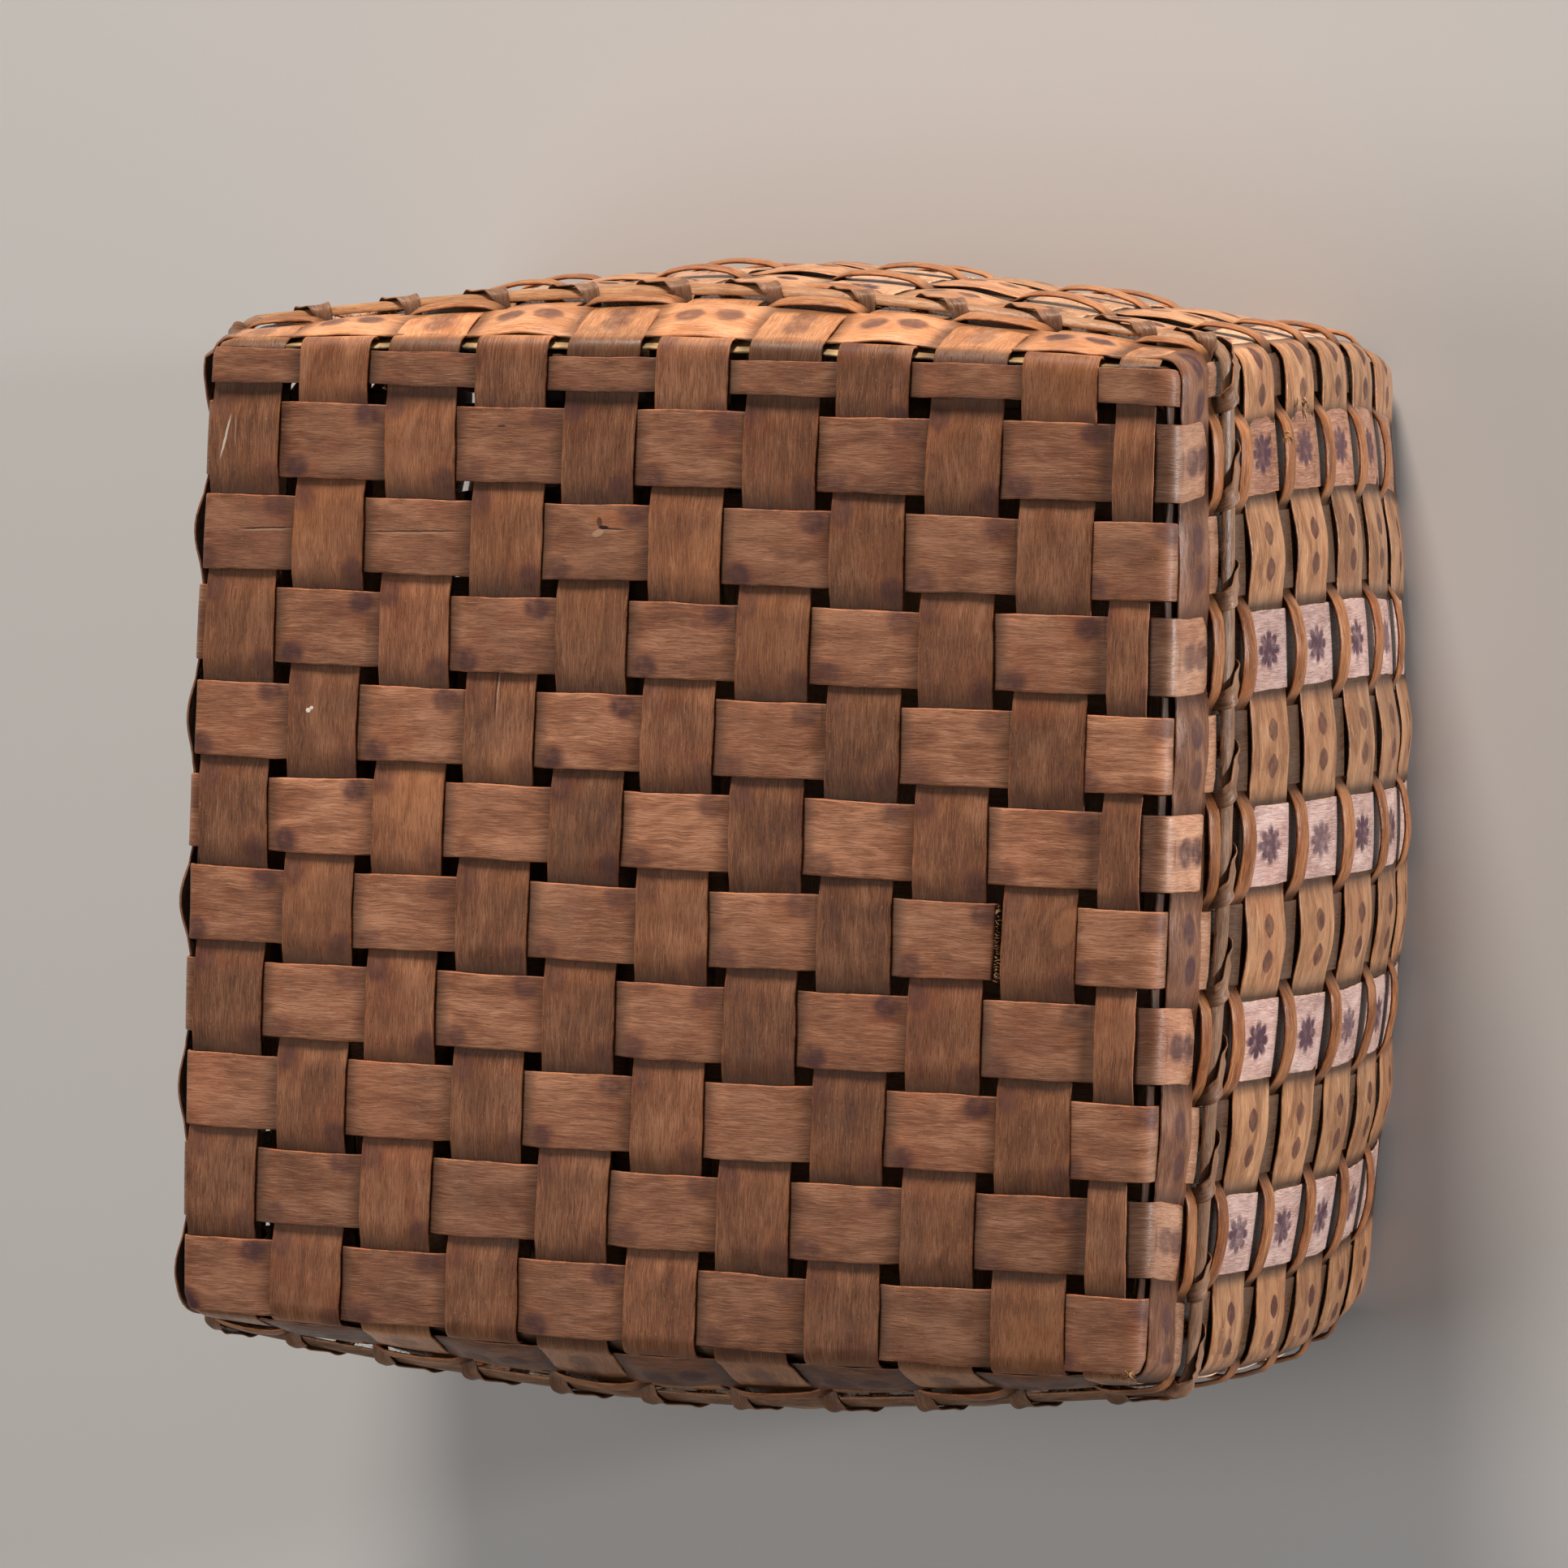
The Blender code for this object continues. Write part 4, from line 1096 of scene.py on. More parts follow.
def make_weaver(
    name,
    nodes,
    wall,
    heights,
    over_outside,
    change,
    lift,
    finish,
    seed,
    printed="none",
    bulge=WEAVER_BULGE,
):
    """A weaver once round a wall. lift is its height under an upright, over one, and its extra bow."""
    low, high = heights
    trip = Round(wall, (low + high) / 2, WEAVER_STEP)
    rise, height, middles, signs = trip.weave(over_outside, change, *lift)
    places = trip.places
    full_turn = places / trip.length * 2 * math.pi
    low_edge = low + WEAVER_RAGGED * (np.sin(full_turn * 7 + seed) + np.sin(full_turn * 23 + 2 * seed)) / 2
    high_edge = high + WEAVER_RAGGED * (np.sin(full_turn * 5 + 3 * seed) + np.sin(full_turn * 19 + seed)) / 2
    share = (ACROSS + 1) / 2
    rows = low_edge[:, None] * (1 - share) + high_edge[:, None] * share
    lanes = rows - (low + high) / 2
    spans = [WEAVER_SPANS[sign] for sign in signs]
    layers = patch_layers(places, middles, spans, signs, [printed] * len(signs), seed, lanes, rise)
    height = height + 0.00025 * np.sin(full_turn * 31 + seed)
    tilt = 0.0002 * np.sin(seed) * ACROSS[None]
    over = np.clip(rise, 0, 1)[:, None]
    height = height[:, None] + (tilt + over * bulge * (0.5 - ACROSS[None] ** 2))
    settings = {"Thickness": SPLINT_THICKNESS, "Ripple": 0.0004, "Ripple Scale": 60.0}
    settings.update({"Seed": float(seed), "Finish": finish})
    base = trip.surface(rows)
    return woven_strip(name, base, places, height, lanes, layers, settings, wall.body, nodes, ring=True)


WEAVER_FINISH = ash_finish(
    "wide weaver ash",
    WEAVER_TONES,
    LENS_SPOTS,
    spot_tone=(76, 42, 32),
    spot_strength=1.10,
    roughness=0.20,
    gloss=0.22,
    depth_shade=BODY_SHADE,
    browning_and_shade_zone=X_WALL_ZONE,
)
NARROW_FINISH = ash_finish(
    "narrow weaver ash",
    NARROW_TONES,
    NO_SPOTS,
    roughness=0.20,
    gloss=LOW_GLOSS,
    depth_shade=BODY_SHADE,
    browning_and_shade_zone=X_WALL_ZONE,
)

for pair, ((low, high), narrow_heights) in enumerate(zip(WIDE_WEAVER_HEIGHTS, NARROW_WEAVER_HEIGHTS), 1):
    low += WEAVER_TRIM if pair > 1 else -FIRST_WEAVER_DROP
    make_weaver(
        f"body_ash_wide_weaver_{pair}",
        [f"body_wide_weaver_{pair}"],
        BODY_WALL,
        (low, high - WEAVER_TRIM),
        False,
        WEAVER_CHANGE,
        (0.0, 0.0003, 0.0018),
        WEAVER_FINISH,
        3000 + pair,
        "bold",
    )
    make_weaver(
        f"body_ash_narrow_weaver_{pair}",
        [f"body_narrow_weaver_{pair}"],
        BODY_WALL,
        narrow_heights,
        True,
        NARROW_CHANGE,
        (-0.0019, 0.0020, 0.0022),
        NARROW_FINISH,
        3100 + pair,
    )

# Body rim
# Two flat hoops of split ash clamp the cut ends of the uprights, inside and outside, and a thin
# strip of ash is wound round both, once through each space. The lid slides down outside them.

HALF_ROUND = np.sqrt(1 - np.abs(ACROSS) ** 2.4)
HOOP_TONES = {
    "dark": (142, 98, 66),
    "middle": (166, 120, 84),
    "light": (188, 142, 104),
    "old dark": (92, 66, 50),
    "old": (122, 92, 72),
    "old light": (154, 120, 98),
}
LASHING_TONES = {
    "dark": (108, 74, 54),
    "middle": (140, 102, 78),
    "light": (168, 130, 104),
}
# The rims' hoops and the lid's weaver take darker old tones on ±X, where it is browning, and on -Y, where it
# is browning with painted shade in it.
RIM_BROWNING_AND_SHADE_WAYS = ((1, 0, 0), (-1, 0, 0), (0, -1, 0))
RIM_BROWNING_AND_SHADE_ZONE = (RIM_BROWNING_AND_SHADE_WAYS, 0.1600, 0.1660)
HOOP_STEP = 0.0030
HOOP_WAVE = 0.0003
LASHING_THICKNESS = 0.0006
LASHING_WIDTH = 0.0068
LASHING_SLANT = 0.0150
LAST_SPLINT_HALF = 0.0060
LASHING_OVER = 0.0003
LASHING_TOP = 0.0016
LASHING_FOOT = 0.0014
LASHING_TURN = 0.0006
LASHING_UNDER = 0.0009
LASHING_STEP = 0.0008


def make_hoop(name, node, wall, heights, lift, thickness, outer_share, seed):
    """A shaved hoop, rounded on its outer side, that swells and twists a little as it goes round."""
    low, high = heights
    trip = Round(wall, (low + high) / 2, HOOP_STEP)
    full_turn = trip.places / trip.length * 2 * math.pi
    share = (ACROSS + 1) / 2
    low_edge = low + HOOP_WAVE * np.sin(full_turn * 4 + seed)
    high_edge = high - HOOP_WAVE * np.sin(full_turn * 6 + 2 * seed) - HOOP_WAVE
    rows = low_edge[:, None] * (1 - share) + high_edge[:, None] * share
    lanes = rows - (low + high) / 2
    layers = patch_layers(trip.places, [], [], [], [], seed, lanes, np.full(len(rows), 0.8))
    height = (lift + 0.00012 * np.sin(full_turn * 9 + seed))[:, None]
    settings = {"Thickness": thickness, "Outer Share": outer_share, "Ripple": 0.0005, "Ripple Scale": 45.0}
    settings.update({"Seed": float(seed), "Finish": HOOP_FINISH})
    base = trip.surface(rows)
    return woven_strip(
        name, base, trip.places, height, lanes, layers, settings, wall.body, [node], True, HALF_ROUND
    )


def make_lashing(name, nodes, wall, heights, reach, seed):
    """A strip wound round both hoops. reach is how far its outer and inner runs stand off the wall."""
    low, high = heights
    trip = Round(wall, (low + high) / 2, HOOP_STEP)
    outline = trip.surface(np.full((len(trip.stations), 1), (low + high) / 2))[:, 0]
    lap = np.concatenate([outline[-3:], outline, outline[:3]])
    lap_places = np.r_[trip.places[-3:] - trip.length, trip.places, trip.places[:3] + trip.length]
    heading = np.gradient(lap, axis=0)
    heading /= np.linalg.norm(heading, axis=1, keepdims=True)
    passes = []
    crossings = sorted(trip.crossings)
    following = crossings[1:] + [(crossings[0][0] + trip.length,) + crossings[0][1:]]
    for (here, outside, number), (there, next_outside, next_number) in zip(crossings, following):
        half = LAST_SPLINT_HALF if number == SPLINT_COUNT else SPLINT_WIDTH / 2
        next_half = LAST_SPLINT_HALF if next_number == SPLINT_COUNT else SPLINT_WIDTH / 2
        passes.append((here + half + there - next_half) / 2)
    draws = np.random.default_rng(seed)
    outer, inner = reach
    middle = (low + high) / 2
    knots = []
    for index, place in enumerate(passes):
        after = passes[index + 1] if index + 1 < len(passes) else passes[0] + trip.length
        lean = LASHING_SLANT * draws.uniform(0.7, 1.3)
        bulge = draws.uniform(0, 0.0003)
        top = high + draws.uniform(0.0001, 0.0006)
        knots += [
            (place, 0.0, top + LASHING_OVER, 0.80),
            (place + 0.05 * lean, outer * 0.7, top, 0.90),
            (place + 0.2 * lean, outer + bulge, high - LASHING_TOP, 1.0),
            (place + 0.5 * lean, outer + bulge, middle, 1.0),
            (place + 0.8 * lean, outer + bulge, low + LASHING_FOOT, 1.0),
            (place + 0.95 * lean, outer * 0.7, low - LASHING_TURN, 0.95),
            (place + 1.05 * lean, 0.0, low - LASHING_UNDER, 0.9),
            (place + 1.15 * lean, inner * 0.7, low - LASHING_TURN, 0.95),
            (place + 1.3 * lean, inner, low + LASHING_FOOT, 1.0),
            (place + (after - place + lean) / 2, inner, middle, 1.0),
            (after - LASHING_TOP, inner, high - LASHING_TOP, 0.95),
            (after - 0.0004, inner * 0.7, top, 0.85),
        ]
    knots.append((passes[0] + trip.length, 0.0, high + 0.0006, 0.80))
    knots = np.array(knots)

    def traced(values):
        around = values[:, 0] % trip.length
        spots = np.column_stack([np.interp(around, lap_places, column) for column in lap.T])
        ways = np.column_stack([np.interp(around, lap_places, column) for column in heading.T])
        ways /= np.linalg.norm(ways, axis=1, keepdims=True)
        outward = np.cross(ways, (0, 0, 1))
        spots = spots + outward * values[:, 1:2]
        spots[:, 2] = values[:, 2]
        return spots, ways

    spots, ways = traced(knots)
    run = np.r_[0, np.cumsum(np.linalg.norm(np.diff(spots, axis=0), axis=1))]
    fine = np.arange(0, run[-1], LASHING_STEP)
    values = np.column_stack([np.interp(fine, run, column) for column in knots.T])
    bell = np.array([1, 2, 3, 2, 1]) / 9
    padded = np.pad(values, ((2, 2), (0, 0)), "edge")
    values = np.column_stack([np.convolve(column, bell, "valid") for column in padded.T])
    spots, ways = traced(values)
    forward = np.gradient(spots, axis=0)
    forward /= np.linalg.norm(forward, axis=1, keepdims=True)
    normal = np.cross(forward, ways)
    normal /= np.linalg.norm(normal, axis=1, keepdims=True)
    sideways = np.cross(normal, forward)
    half_width = (LASHING_WIDTH / 2) * values[:, 3] * (1 + 0.04 * np.sin(fine * 31 + seed))
    lanes = half_width[:, None] * ACROSS[None]
    points = spots[:, None] + sideways[:, None] * lanes[..., None]
    layers = patch_layers(fine, [], [], [], [], seed, lanes, np.full(len(fine), 0.8))
    # Painted shade on the turns, where the strip passes over and under the hoops.
    layers["tone_rim_and_shade"][..., 2] = np.clip(1 - np.abs(values[:, 1]) / abs(inner), 0, 1)[:, None] * 0.5
    fullness = np.repeat(FULLNESS[None], len(fine), 0)
    fullness[0] = fullness[-1] = 0
    layers["fullness"] = fullness
    thing = placed(name, sheet_of_strip(name, points, fine, lanes, layers))
    settings = {"Thickness": LASHING_THICKNESS, "Ripple": 0.0001, "Ripple Scale": 90.0}
    grown(thing, STRIP_TREE, {**settings, "Seed": float(seed), "Finish": LASHING_FINISH})
    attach(thing, wall.body)
    if nodes:
        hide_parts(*nodes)
    return thing


HOOP_FINISH = ash_finish(
    "hoop ash", HOOP_TONES, NO_SPOTS, roughness=0.22, gloss=LOW_GLOSS, browning_and_shade_zone=RIM_BROWNING_AND_SHADE_ZONE
)
LASHING_FINISH = ash_finish("lashing ash", LASHING_TONES, NO_SPOTS, roughness=0.24, gloss=LOW_GLOSS)
BODY_HOOP_HEIGHTS = (0.2372, 0.2500)

BODY_HOOPS = {"outer": (0.0016, 0.0019, 0.9, 41), "inner": (-0.0016, 0.0019, 0.1, 42)}
for face, (lift, thickness, outer_share, seed) in BODY_HOOPS.items():
    name, node = f"body_ash_{face}_hoop", f"body_{face}_hoop"
    make_hoop(name, node, BODY_WALL, BODY_HOOP_HEIGHTS, lift, thickness, outer_share, seed)
make_lashing("body_rim_lashing", [], BODY_WALL, BODY_HOOP_HEIGHTS, (0.0037, -0.0037), 43)

# Lid splints
# The lid is woven like the base: eleven rows and eleven columns of the same ash, bent down
# over its edge and held between the lid's hoops. Handling and smoke have browned its face.

LID_LEVEL = 0.2824
LID_FALL = 0.0008
LID_FALL_HALF = 0.16
LID_UNEVEN = 0.0005
LID_BEND = 0.0068
LID_RADIUS = 0.0065
LID_EDGE_BOW = 0.001
LID_RIM_HEIGHT = 0.2362
LID_SIDE_OUTS = ((0.0032, 0.0042), (0.0078, 0.0158))
LID_SIDE_HEIGHT = 0.2524
LID_START_OUTS = ((0.0005, 0.0005), (0.0030, 0.0045))
LID_START_HEIGHT = 0.27455
LID_WEAVER_HEIGHTS = (0.2524, 0.2756)
LID_STRIP_HEIGHTS = (0.2452, 0.2530)
LID_HOOP_PASS = (0.2405, 0.004)
ROW_TONES = {
    "dark": (124, 84, 62),
    "middle": (152, 110, 86),
    "light": (180, 138, 112),
    "old dark": (96, 56, 37),
    "old": (137, 91, 66),
    "old light": (174, 125, 97),
}
COLUMN_TONES = {
    "dark": (172, 110, 68),
    "middle": (200, 136, 92),
    "light": (222, 164, 120),
    "old dark": (86, 49, 32),
    "old": (124, 80, 55),
    "old light": (159, 111, 83),
}
LID_BOLD = ((0.0045, 0.0, 0.0), (0.0056, 0.0046, 1.0), (0.0, 0.0, 0.0, 0.35))
FACE_ZONE = (((0, 0, 1),), 0.2800, 0.2860)

LID_OUTS = [LID_RIM_OUTS, LID_SIDE_OUTS, LID_START_OUTS, ((0.0, 0.0), (LID_EDGE_BOW, LID_EDGE_BOW))]
LID_WALL = Wall(
    "lid",
    [LID_RIM_HEIGHT, LID_SIDE_HEIGHT, LID_START_HEIGHT, LID_LEVEL],
    [[LID_HALVES[axis] + corners[axis] for axis in (0, 1)] for corners, middles in LID_OUTS],
    [[LID_HALVES[axis] + middles[axis] for axis in (0, 1)] for corners, middles in LID_OUTS],
    LID_RADIUS,
)


def lid_level(x, y):
    """The face is nearly flat, a little uneven, and falls slightly towards its edges."""
    fall = LID_FALL * ((x / LID_FALL_HALF) ** 4 + (y / LID_FALL_HALF) ** 4)
    uneven = LID_UNEVEN * np.sin(x * 31 + 1.1) * np.sin(y * 27 + 0.4)
    return LID_LEVEL - fall + uneven


# The near-black below is painted shade in the cracks and the crease, and the dark of the sunken knot; the
# pale wood tone is also a painted highlight along the lip beside a crack.
CRACK_SHADE = (30, 16, 10)
PALE_WOOD_AND_HIGHLIGHT = (204, 164, 132)
PAINT_SPECK = (240, 230, 212)
ROW_MARKS = [
    ((-0.0222, 0.1045), 0, 0.0080, 0.0040, (158, 92, 54), 0.40, 0.0),
    ((-0.0255, 0.1001), 20, 0.0024, 0.0014, PALE_WOOD_AND_HIGHLIGHT, 0.50, -1.0),
    ((-0.0250, 0.1036), 100, 0.0020, 0.0010, CRACK_SHADE, 0.7, 2.0),
    ((-0.0236, 0.1020), 0, 0.0020, 0.0007, CRACK_SHADE, 1.0, 3.0),
    ((-0.0205, 0.1017), 0, 0.0052, 0.0003, CRACK_SHADE, 0.9, 2.0),
    ((-0.0205, 0.1013), 0, 0.0050, 0.0003, PALE_WOOD_AND_HIGHLIGHT, 0.25, 0.0),
    ((-0.1400, 0.0984), 3, 0.0110, 0.0004, CRACK_SHADE, 0.8, 2.0),
    ((-0.1400, 0.0979), 3, 0.0110, 0.0004, PALE_WOOD_AND_HIGHLIGHT, 0.4, 0.0),
    ((-0.0894, 0.0988), 2, 0.0190, 0.0004, CRACK_SHADE, 0.7, 2.0),
    ((-0.0894, 0.0983), 2, 0.0190, 0.0004, PALE_WOOD_AND_HIGHLIGHT, 0.35, 0.0),
    ((-0.0595, 0.1336), 0, 0.0018, 0.0005, CRACK_SHADE, 0.8, 1.0),
]
COLUMN_MARKS = [
    ((-0.1555, 0.1279), 77, 0.0085, 0.0005, (222, 204, 186), 0.8, 0.0),
    ((-0.1521, 0.1300), 90, 0.0060, 0.0003, (186, 150, 124), 0.5, 0.0),
    ((-0.0585, 0.0500), 90, 0.0130, 0.0004, CRACK_SHADE, 0.7, 2.0),
    ((-0.0580, 0.0500), 90, 0.0130, 0.0004, PALE_WOOD_AND_HIGHLIGHT, 0.45, 0.0),
    ((-0.1337, -0.0460), 73, 0.0130, 0.0004, CRACK_SHADE, 0.65, 2.0),
    ((-0.1233, 0.0396), 0, 0.0010, 0.0009, PAINT_SPECK, 1.0, -1.0),
    ((-0.1222, 0.0404), 30, 0.0008, 0.0007, PAINT_SPECK, 1.0, -1.0),
    ((0.1340, -0.0190), 60, 0.0080, 0.0045, (178, 120, 82), 0.45, 0.0),
]
BROKEN_SPLINTS = {(0, 5): [(0.1118, 0.1180)]}
LID_TONE_SHIFTS = {
    (0, 2): -0.4,
    (0, 3): 1.0,
    (0, 4): 2.1,
    (0, 5): 1.8,
    (0, 6): 4.0,
    (0, 7): 3.2,
    (0, 8): 1.8,
    (0, 9): 0.8,
    (0, 10): -0.6,
    (1, 1): -0.6,
    (1, 3): 1.3,
    (1, 5): -1.4,
    (1, 6): 0.7,
    (1, 7): -1.2,
    (1, 8): -2.3,
}
LID_SPLINT_FINISHES = [
    ash_finish(
        "lid row ash",
        ROW_TONES,
        LID_BOLD,
        browning_and_shade_zone=FACE_ZONE,
        gloss=0.22,
        side_polish=0.24,
        lines=ROW_MARKS,
    ),
    ash_finish(
        "lid column ash",
        COLUMN_TONES,
        LID_BOLD,
        browning_and_shade_zone=FACE_ZONE,
        spot_strength=0.65,
        gloss=0.22,
        side_polish=0.24,
        lines=COLUMN_MARKS,
    ),
]

lid_heights = list(np.arange(LID_START_HEIGHT, LID_RIM_HEIGHT, -0.0016)) + [LID_RIM_HEIGHT + 0.0002]
LID_SPLINTS = {
    "prefix": "lid",
    "wall": LID_WALL,
    "level": lid_level,
    "heights": lid_heights,
    "bend": LID_BEND,
    "step": 0.0015,
    "seed": 2000,
    "scale": 1.0,
    "outermost_bow": 0.0,
    "breaks": BROKEN_SPLINTS,
    "tone_shifts": LID_TONE_SHIFTS,
}

for axis in (0, 1):
    for number in range(1, SPLINT_COUNT + 1):
        sign = 1 if upright_is_outside(axis, number) else -1
        wall_marks = [
            (sum(LID_WEAVER_HEIGHTS) / 2, 0.0118, sign, "bold"),
            (sum(LID_STRIP_HEIGHTS) / 2, 0.002, -0.4 * sign, "none"),
            (*LID_HOOP_PASS, 0.3 * sign, "none"),
        ]
        width = WIDTHS[axis][number - 1]
        make_splint(LID_SPLINTS, axis, number, width, wall_marks, LID_SPLINT_FINISHES[axis])

# Lid weavers
# One wide weaver goes round the lid's side close under its face, with a lining strip inside
# it that shows through the spaces: pale on the +Y side and painted near-black as shade on the others.
# A narrow strip below, in the opposite phase, meets the hoops.

LINING_HEIGHTS = (0.2590, 0.2797)
# The lining is painted near-black as shade on its ±X and -Y sides; on +Y it keeps its own pale tone.
LINING_SHADE_ZONE = (RIM_BROWNING_AND_SHADE_WAYS, 0.1480, 0.1560)
LID_SIDE_BULGE = 0.0018
LID_WEAVER_TONES = {
    "dark": (174, 112, 72),
    "middle": (202, 140, 98),
    "light": (224, 168, 126),
    "old dark": (76, 46, 32),
    "old": (108, 72, 54),
    "old light": (144, 104, 82),
}
OVAL_SPOTS = ((0.0064, 0.0006, 0.0), (0.0050, 0.0040, 1.0), (0.0, 0.0, 0.2, 0.3))
LID_WEAVER_FINISH = ash_finish(
    "lid weaver ash", LID_WEAVER_TONES, OVAL_SPOTS, roughness=0.20, gloss=0.16, browning_and_shade_zone=RIM_BROWNING_AND_SHADE_ZONE
)
make_weaver(
    "lid_ash_side_weaver",
    ["lid_side_weaver"],
    LID_WALL,
    LID_WEAVER_HEIGHTS,
    False,
    WEAVER_CHANGE,
    (0.0, 0.0003, 0.0010, (0.0, 0.0008, 0.0030, 0.0)),
    LID_WEAVER_FINISH,
    3201,
    "bold",
    LID_SIDE_BULGE,
)
# Pale tones of the lining, and near-black old tones that are painted shade.
LINING_TONES = {
    "dark": (178, 140, 94),
    "middle": (204, 170, 120),
    "light": (224, 194, 146),
    "old dark": (44, 26, 16),
    "old": (66, 42, 28),
    "old light": (90, 60, 42),
}
LINING_FINISH = ash_finish("lid lining ash", LINING_TONES, NO_SPOTS, roughness=0.40, browning_and_shade_zone=LINING_SHADE_ZONE)
make_weaver(
    "lid_ash_side_weaver_lap",
    [],
    LID_WALL,
    LINING_HEIGHTS,
    False,
    WEAVER_CHANGE,
    (-0.0022, -0.0022, 0.0),
    LINING_FINISH,
    3202,
)
make_weaver(
    "lid_ash_strip_weaver",
    [],
    LID_WALL,
    LID_STRIP_HEIGHTS,
    True,
    NARROW_CHANGE,
    (-0.0017, 0.0017, 0.0012),
    NARROW_FINISH,
    3203,
)

# Lid rim
# Two half-round hoops of ash, one inside and one outside, hold the ends of the lid's uprights.
# A strip of ash wound slantwise through every space binds them; its turns over and under the hoops are
# painted darker as shade.

LID_HOOP_HEIGHTS = (0.2364, 0.2450)

LID_HOOPS = {"outer": (0.0018, 0.0030, 0.93, 51), "inner": (-0.0018, 0.0024, 0.07, 52)}
for face, (lift, thickness, outer_share, seed) in LID_HOOPS.items():
    name, node = f"lid_ash_{face}_hoop", f"lid_{face}_hoop"
    make_hoop(name, node, LID_WALL, LID_HOOP_HEIGHTS, lift, thickness, outer_share, seed)
make_lashing("lid_ash_lashing", ["lid_lashing"], LID_WALL, LID_HOOP_HEIGHTS, (0.0051, -0.0044), 53)

# Torn wood
# Where splints have broken or were cut, the ash ends in short stiff fibres: at a broken row and a
# frayed corner of the lid, along the cut ends over its hoop, and at two splinters of the body.

TORN_TONES = {"dark": (96, 62, 40), "light": (184, 138, 92)}
FIBRE_THICKNESS = 0.00016
FIBRE_LENGTH = 0.0030
BODY_FIBRE_THICKNESS = 0.0005
CUT_END_STEPS = 160
CUT_END_BOX = 0.0006
CUT_END_TUCK = 0.0010


def fibre_tree():
    """Stands a thin tapered fibre on every point, along its own way and at its own size."""
    tree, given, end = new_tree(
        "torn fibres",
        [
            ("Points", "NodeSocketGeometry", None),
            ("Thickness", "NodeSocketFloat", FIBRE_THICKNESS),
            ("Length", "NodeSocketFloat", FIBRE_LENGTH),
            ("Finish", "NodeSocketMaterial", None),
        ],
        "Fibres",
    )
    way = fitting(tree, "GeometryNodeInputNamedAttribute", {"Name": "way"}, data_type="FLOAT_VECTOR")
    size = fitting(tree, "GeometryNodeInputNamedAttribute", {"Name": "size"}, data_type="FLOAT")
    cone = fitting(tree, "GeometryNodeMeshCone", {"Vertices": 5, "Radius Bottom": 1.0, "Depth": 1.0})
    turn = fitting(tree, "FunctionNodeAlignRotationToVector", {"Vector": way.outputs[0]}, axis="Z")
    length = sum_of(tree, "MULTIPLY", size.outputs[0], given["Length"])
    scale = fitting(tree, "ShaderNodeCombineXYZ", {0: given["Thickness"], 1: given["Thickness"], 2: length})
    standing = fitting(
        tree,
        "GeometryNodeInstanceOnPoints",
        {
            "Points": given["Points"],
            "Instance": cone.outputs["Mesh"],
            "Rotation": turn.outputs[0],
            "Scale": scale.outputs[0],
        },
    )
    finished(tree, standing.outputs[0], given["Finish"], end)
    return tree


def torn_finish():
    material = bpy.data.materials.new("torn ash")
    material.use_nodes = True
    tree = material.node_tree
    shader = tree.nodes["Principled BSDF"]
    here = fitting(tree, "ShaderNodeTexCoord").outputs["Object"]
    streak = stretched_noise(tree, here, (900.0, 900.0, 900.0), 2.0)
    patch = stretched_noise(tree, here, (210.0, 210.0, 210.0), 2.0)
    blend = sum_of(tree, "MULTIPLY_ADD", patch, 0.6, sum_of(tree, "MULTIPLY", streak, 0.4))
    share = clamped(tree, blend, 0.36, 0.64)
    wood = mixed(tree, share, colour(*TORN_TONES["dark"]), colour(*TORN_TONES["light"]))
    tree.links.new(wood, shader.inputs["Base Color"])
    bump = fitting(tree, "ShaderNodeBump", {"Height": streak, "Strength": 0.5, "Distance": 0.0001})
    tree.links.new(bump.outputs[0], shader.inputs["Normal"])
    shader.inputs["Roughness"].default_value = 0.5
    shader.inputs["Specular IOR Level"].default_value = 0.3
    return material


FIBRE_TREE = fibre_tree()
TORN_FINISH = torn_finish()


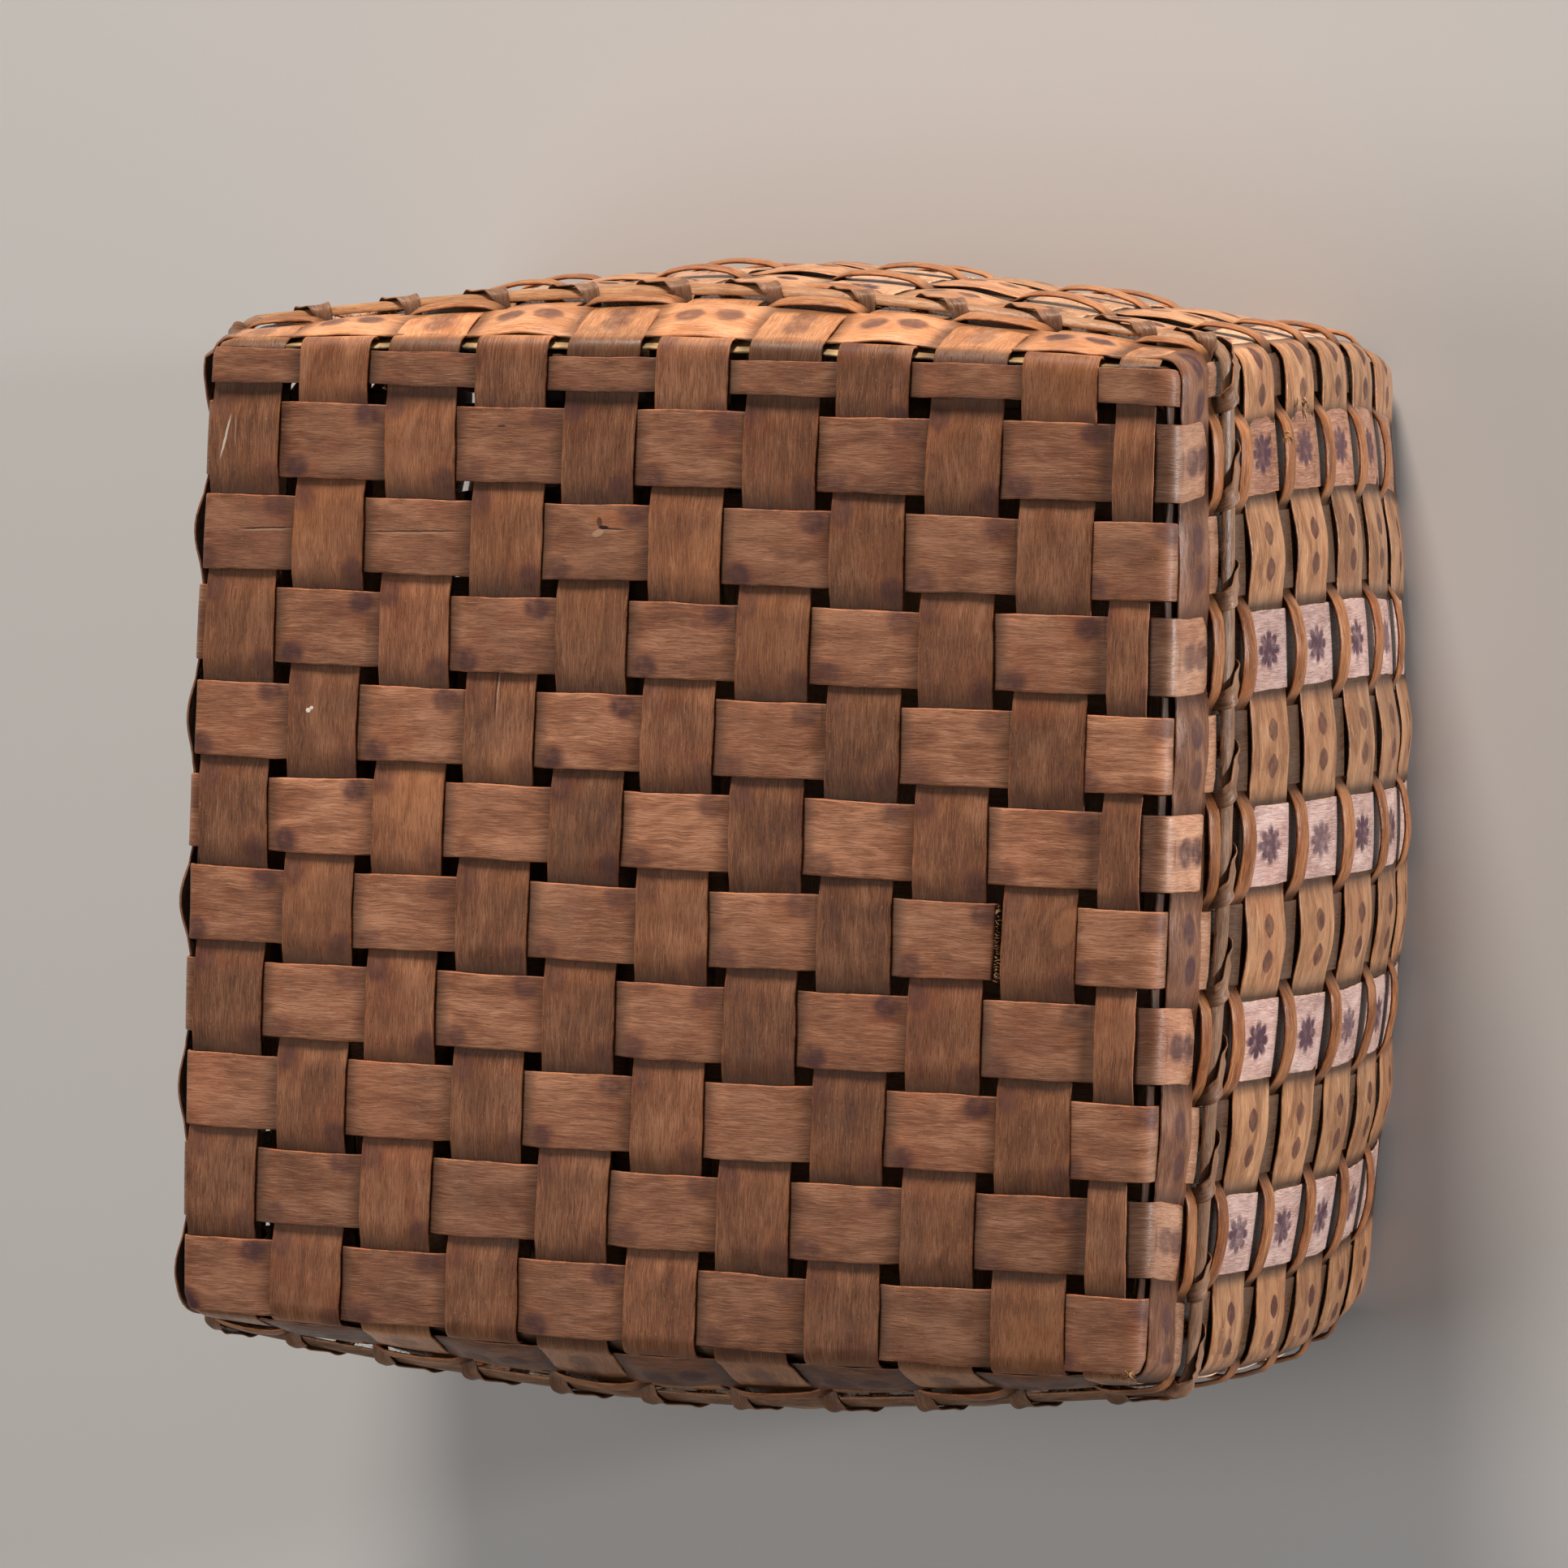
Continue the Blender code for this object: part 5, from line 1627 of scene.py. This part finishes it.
def make_fibres(name, groups, body, seed, thickness=FIBRE_THICKNESS):
    """Fibres of one body. A group is a count, low and high corners of its box, a way and a size."""
    draws = np.random.default_rng(seed)
    points, ways, sizes = [], [], []
    for count, low, high, way, size in groups:
        points.append(draws.uniform(low, high, (count, 3)))
        ways.append(np.array(way) + draws.normal(0, 0.35, (count, 3)))
        sizes.append(size * draws.uniform(0.25, 1.0, count) ** 1.5)
    mesh = bpy.data.meshes.new(name)
    mesh.from_pydata(np.concatenate(points).tolist(), [], [])
    ways_layer = mesh.attributes.new("way", "FLOAT_VECTOR", "POINT")
    ways_layer.data.foreach_set("vector", np.concatenate(ways).astype(np.float32).reshape(-1))
    sizes_layer = mesh.attributes.new("size", "FLOAT", "POINT")
    sizes_layer.data.foreach_set("value", np.concatenate(sizes).astype(np.float32))
    thing = grown(placed(name, mesh), FIBRE_TREE, {"Thickness": thickness, "Finish": TORN_FINISH})
    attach(thing, body)
    return thing


def cut_end_groups():
    """Short bristles of the cut uprights that stand up between the lid's outer hoop and its wall."""
    groups = []
    for side in range(4):
        way = OUTWARD[side] * 0.2 + (0, 0, 1.0)
        for share in np.linspace(-0.97, 0.97, CUT_END_STEPS):
            foot = LID_WALL.place(side, share, LID_HOOP_HEIGHTS[1] - CUT_END_TUCK)
            foot = foot + OUTWARD[side] * CUT_END_TUCK
            groups.append((2, foot - CUT_END_BOX, foot + CUT_END_BOX, way, 0.9))
    return groups


make_fibres(
    "lid_torn_fibres",
    [
        (70, (0.1112, -0.0372, 0.2836), (0.1120, -0.0128, 0.2842), (1.0, 0.0, 0.1), 0.7),
        (60, (0.1560, -0.1590, 0.2800), (0.1600, -0.1570, 0.2822), (0.7, -0.7, 0.2), 1.3),
        (40, (0.1520, -0.1600, 0.2780), (0.1580, -0.1590, 0.2800), (0.3, -1.0, -0.2), 1.0),
        *cut_end_groups(),
    ],
    "lid",
    61,
)
make_fibres(
    "body_torn_fibres",
    [
        (16, (0.1770, 0.1480, 0.1630), (0.1785, 0.1530, 0.1670), (0.3, -1.0, 0.0), 1.9),
        (14, (0.1780, 0.1385, 0.1920), (0.1795, 0.1410, 0.1950), (0.3, -1.0, 0.0), 1.4),
    ],
    "basket",
    62,
    thickness=BODY_FIBRE_THICKNESS,
)
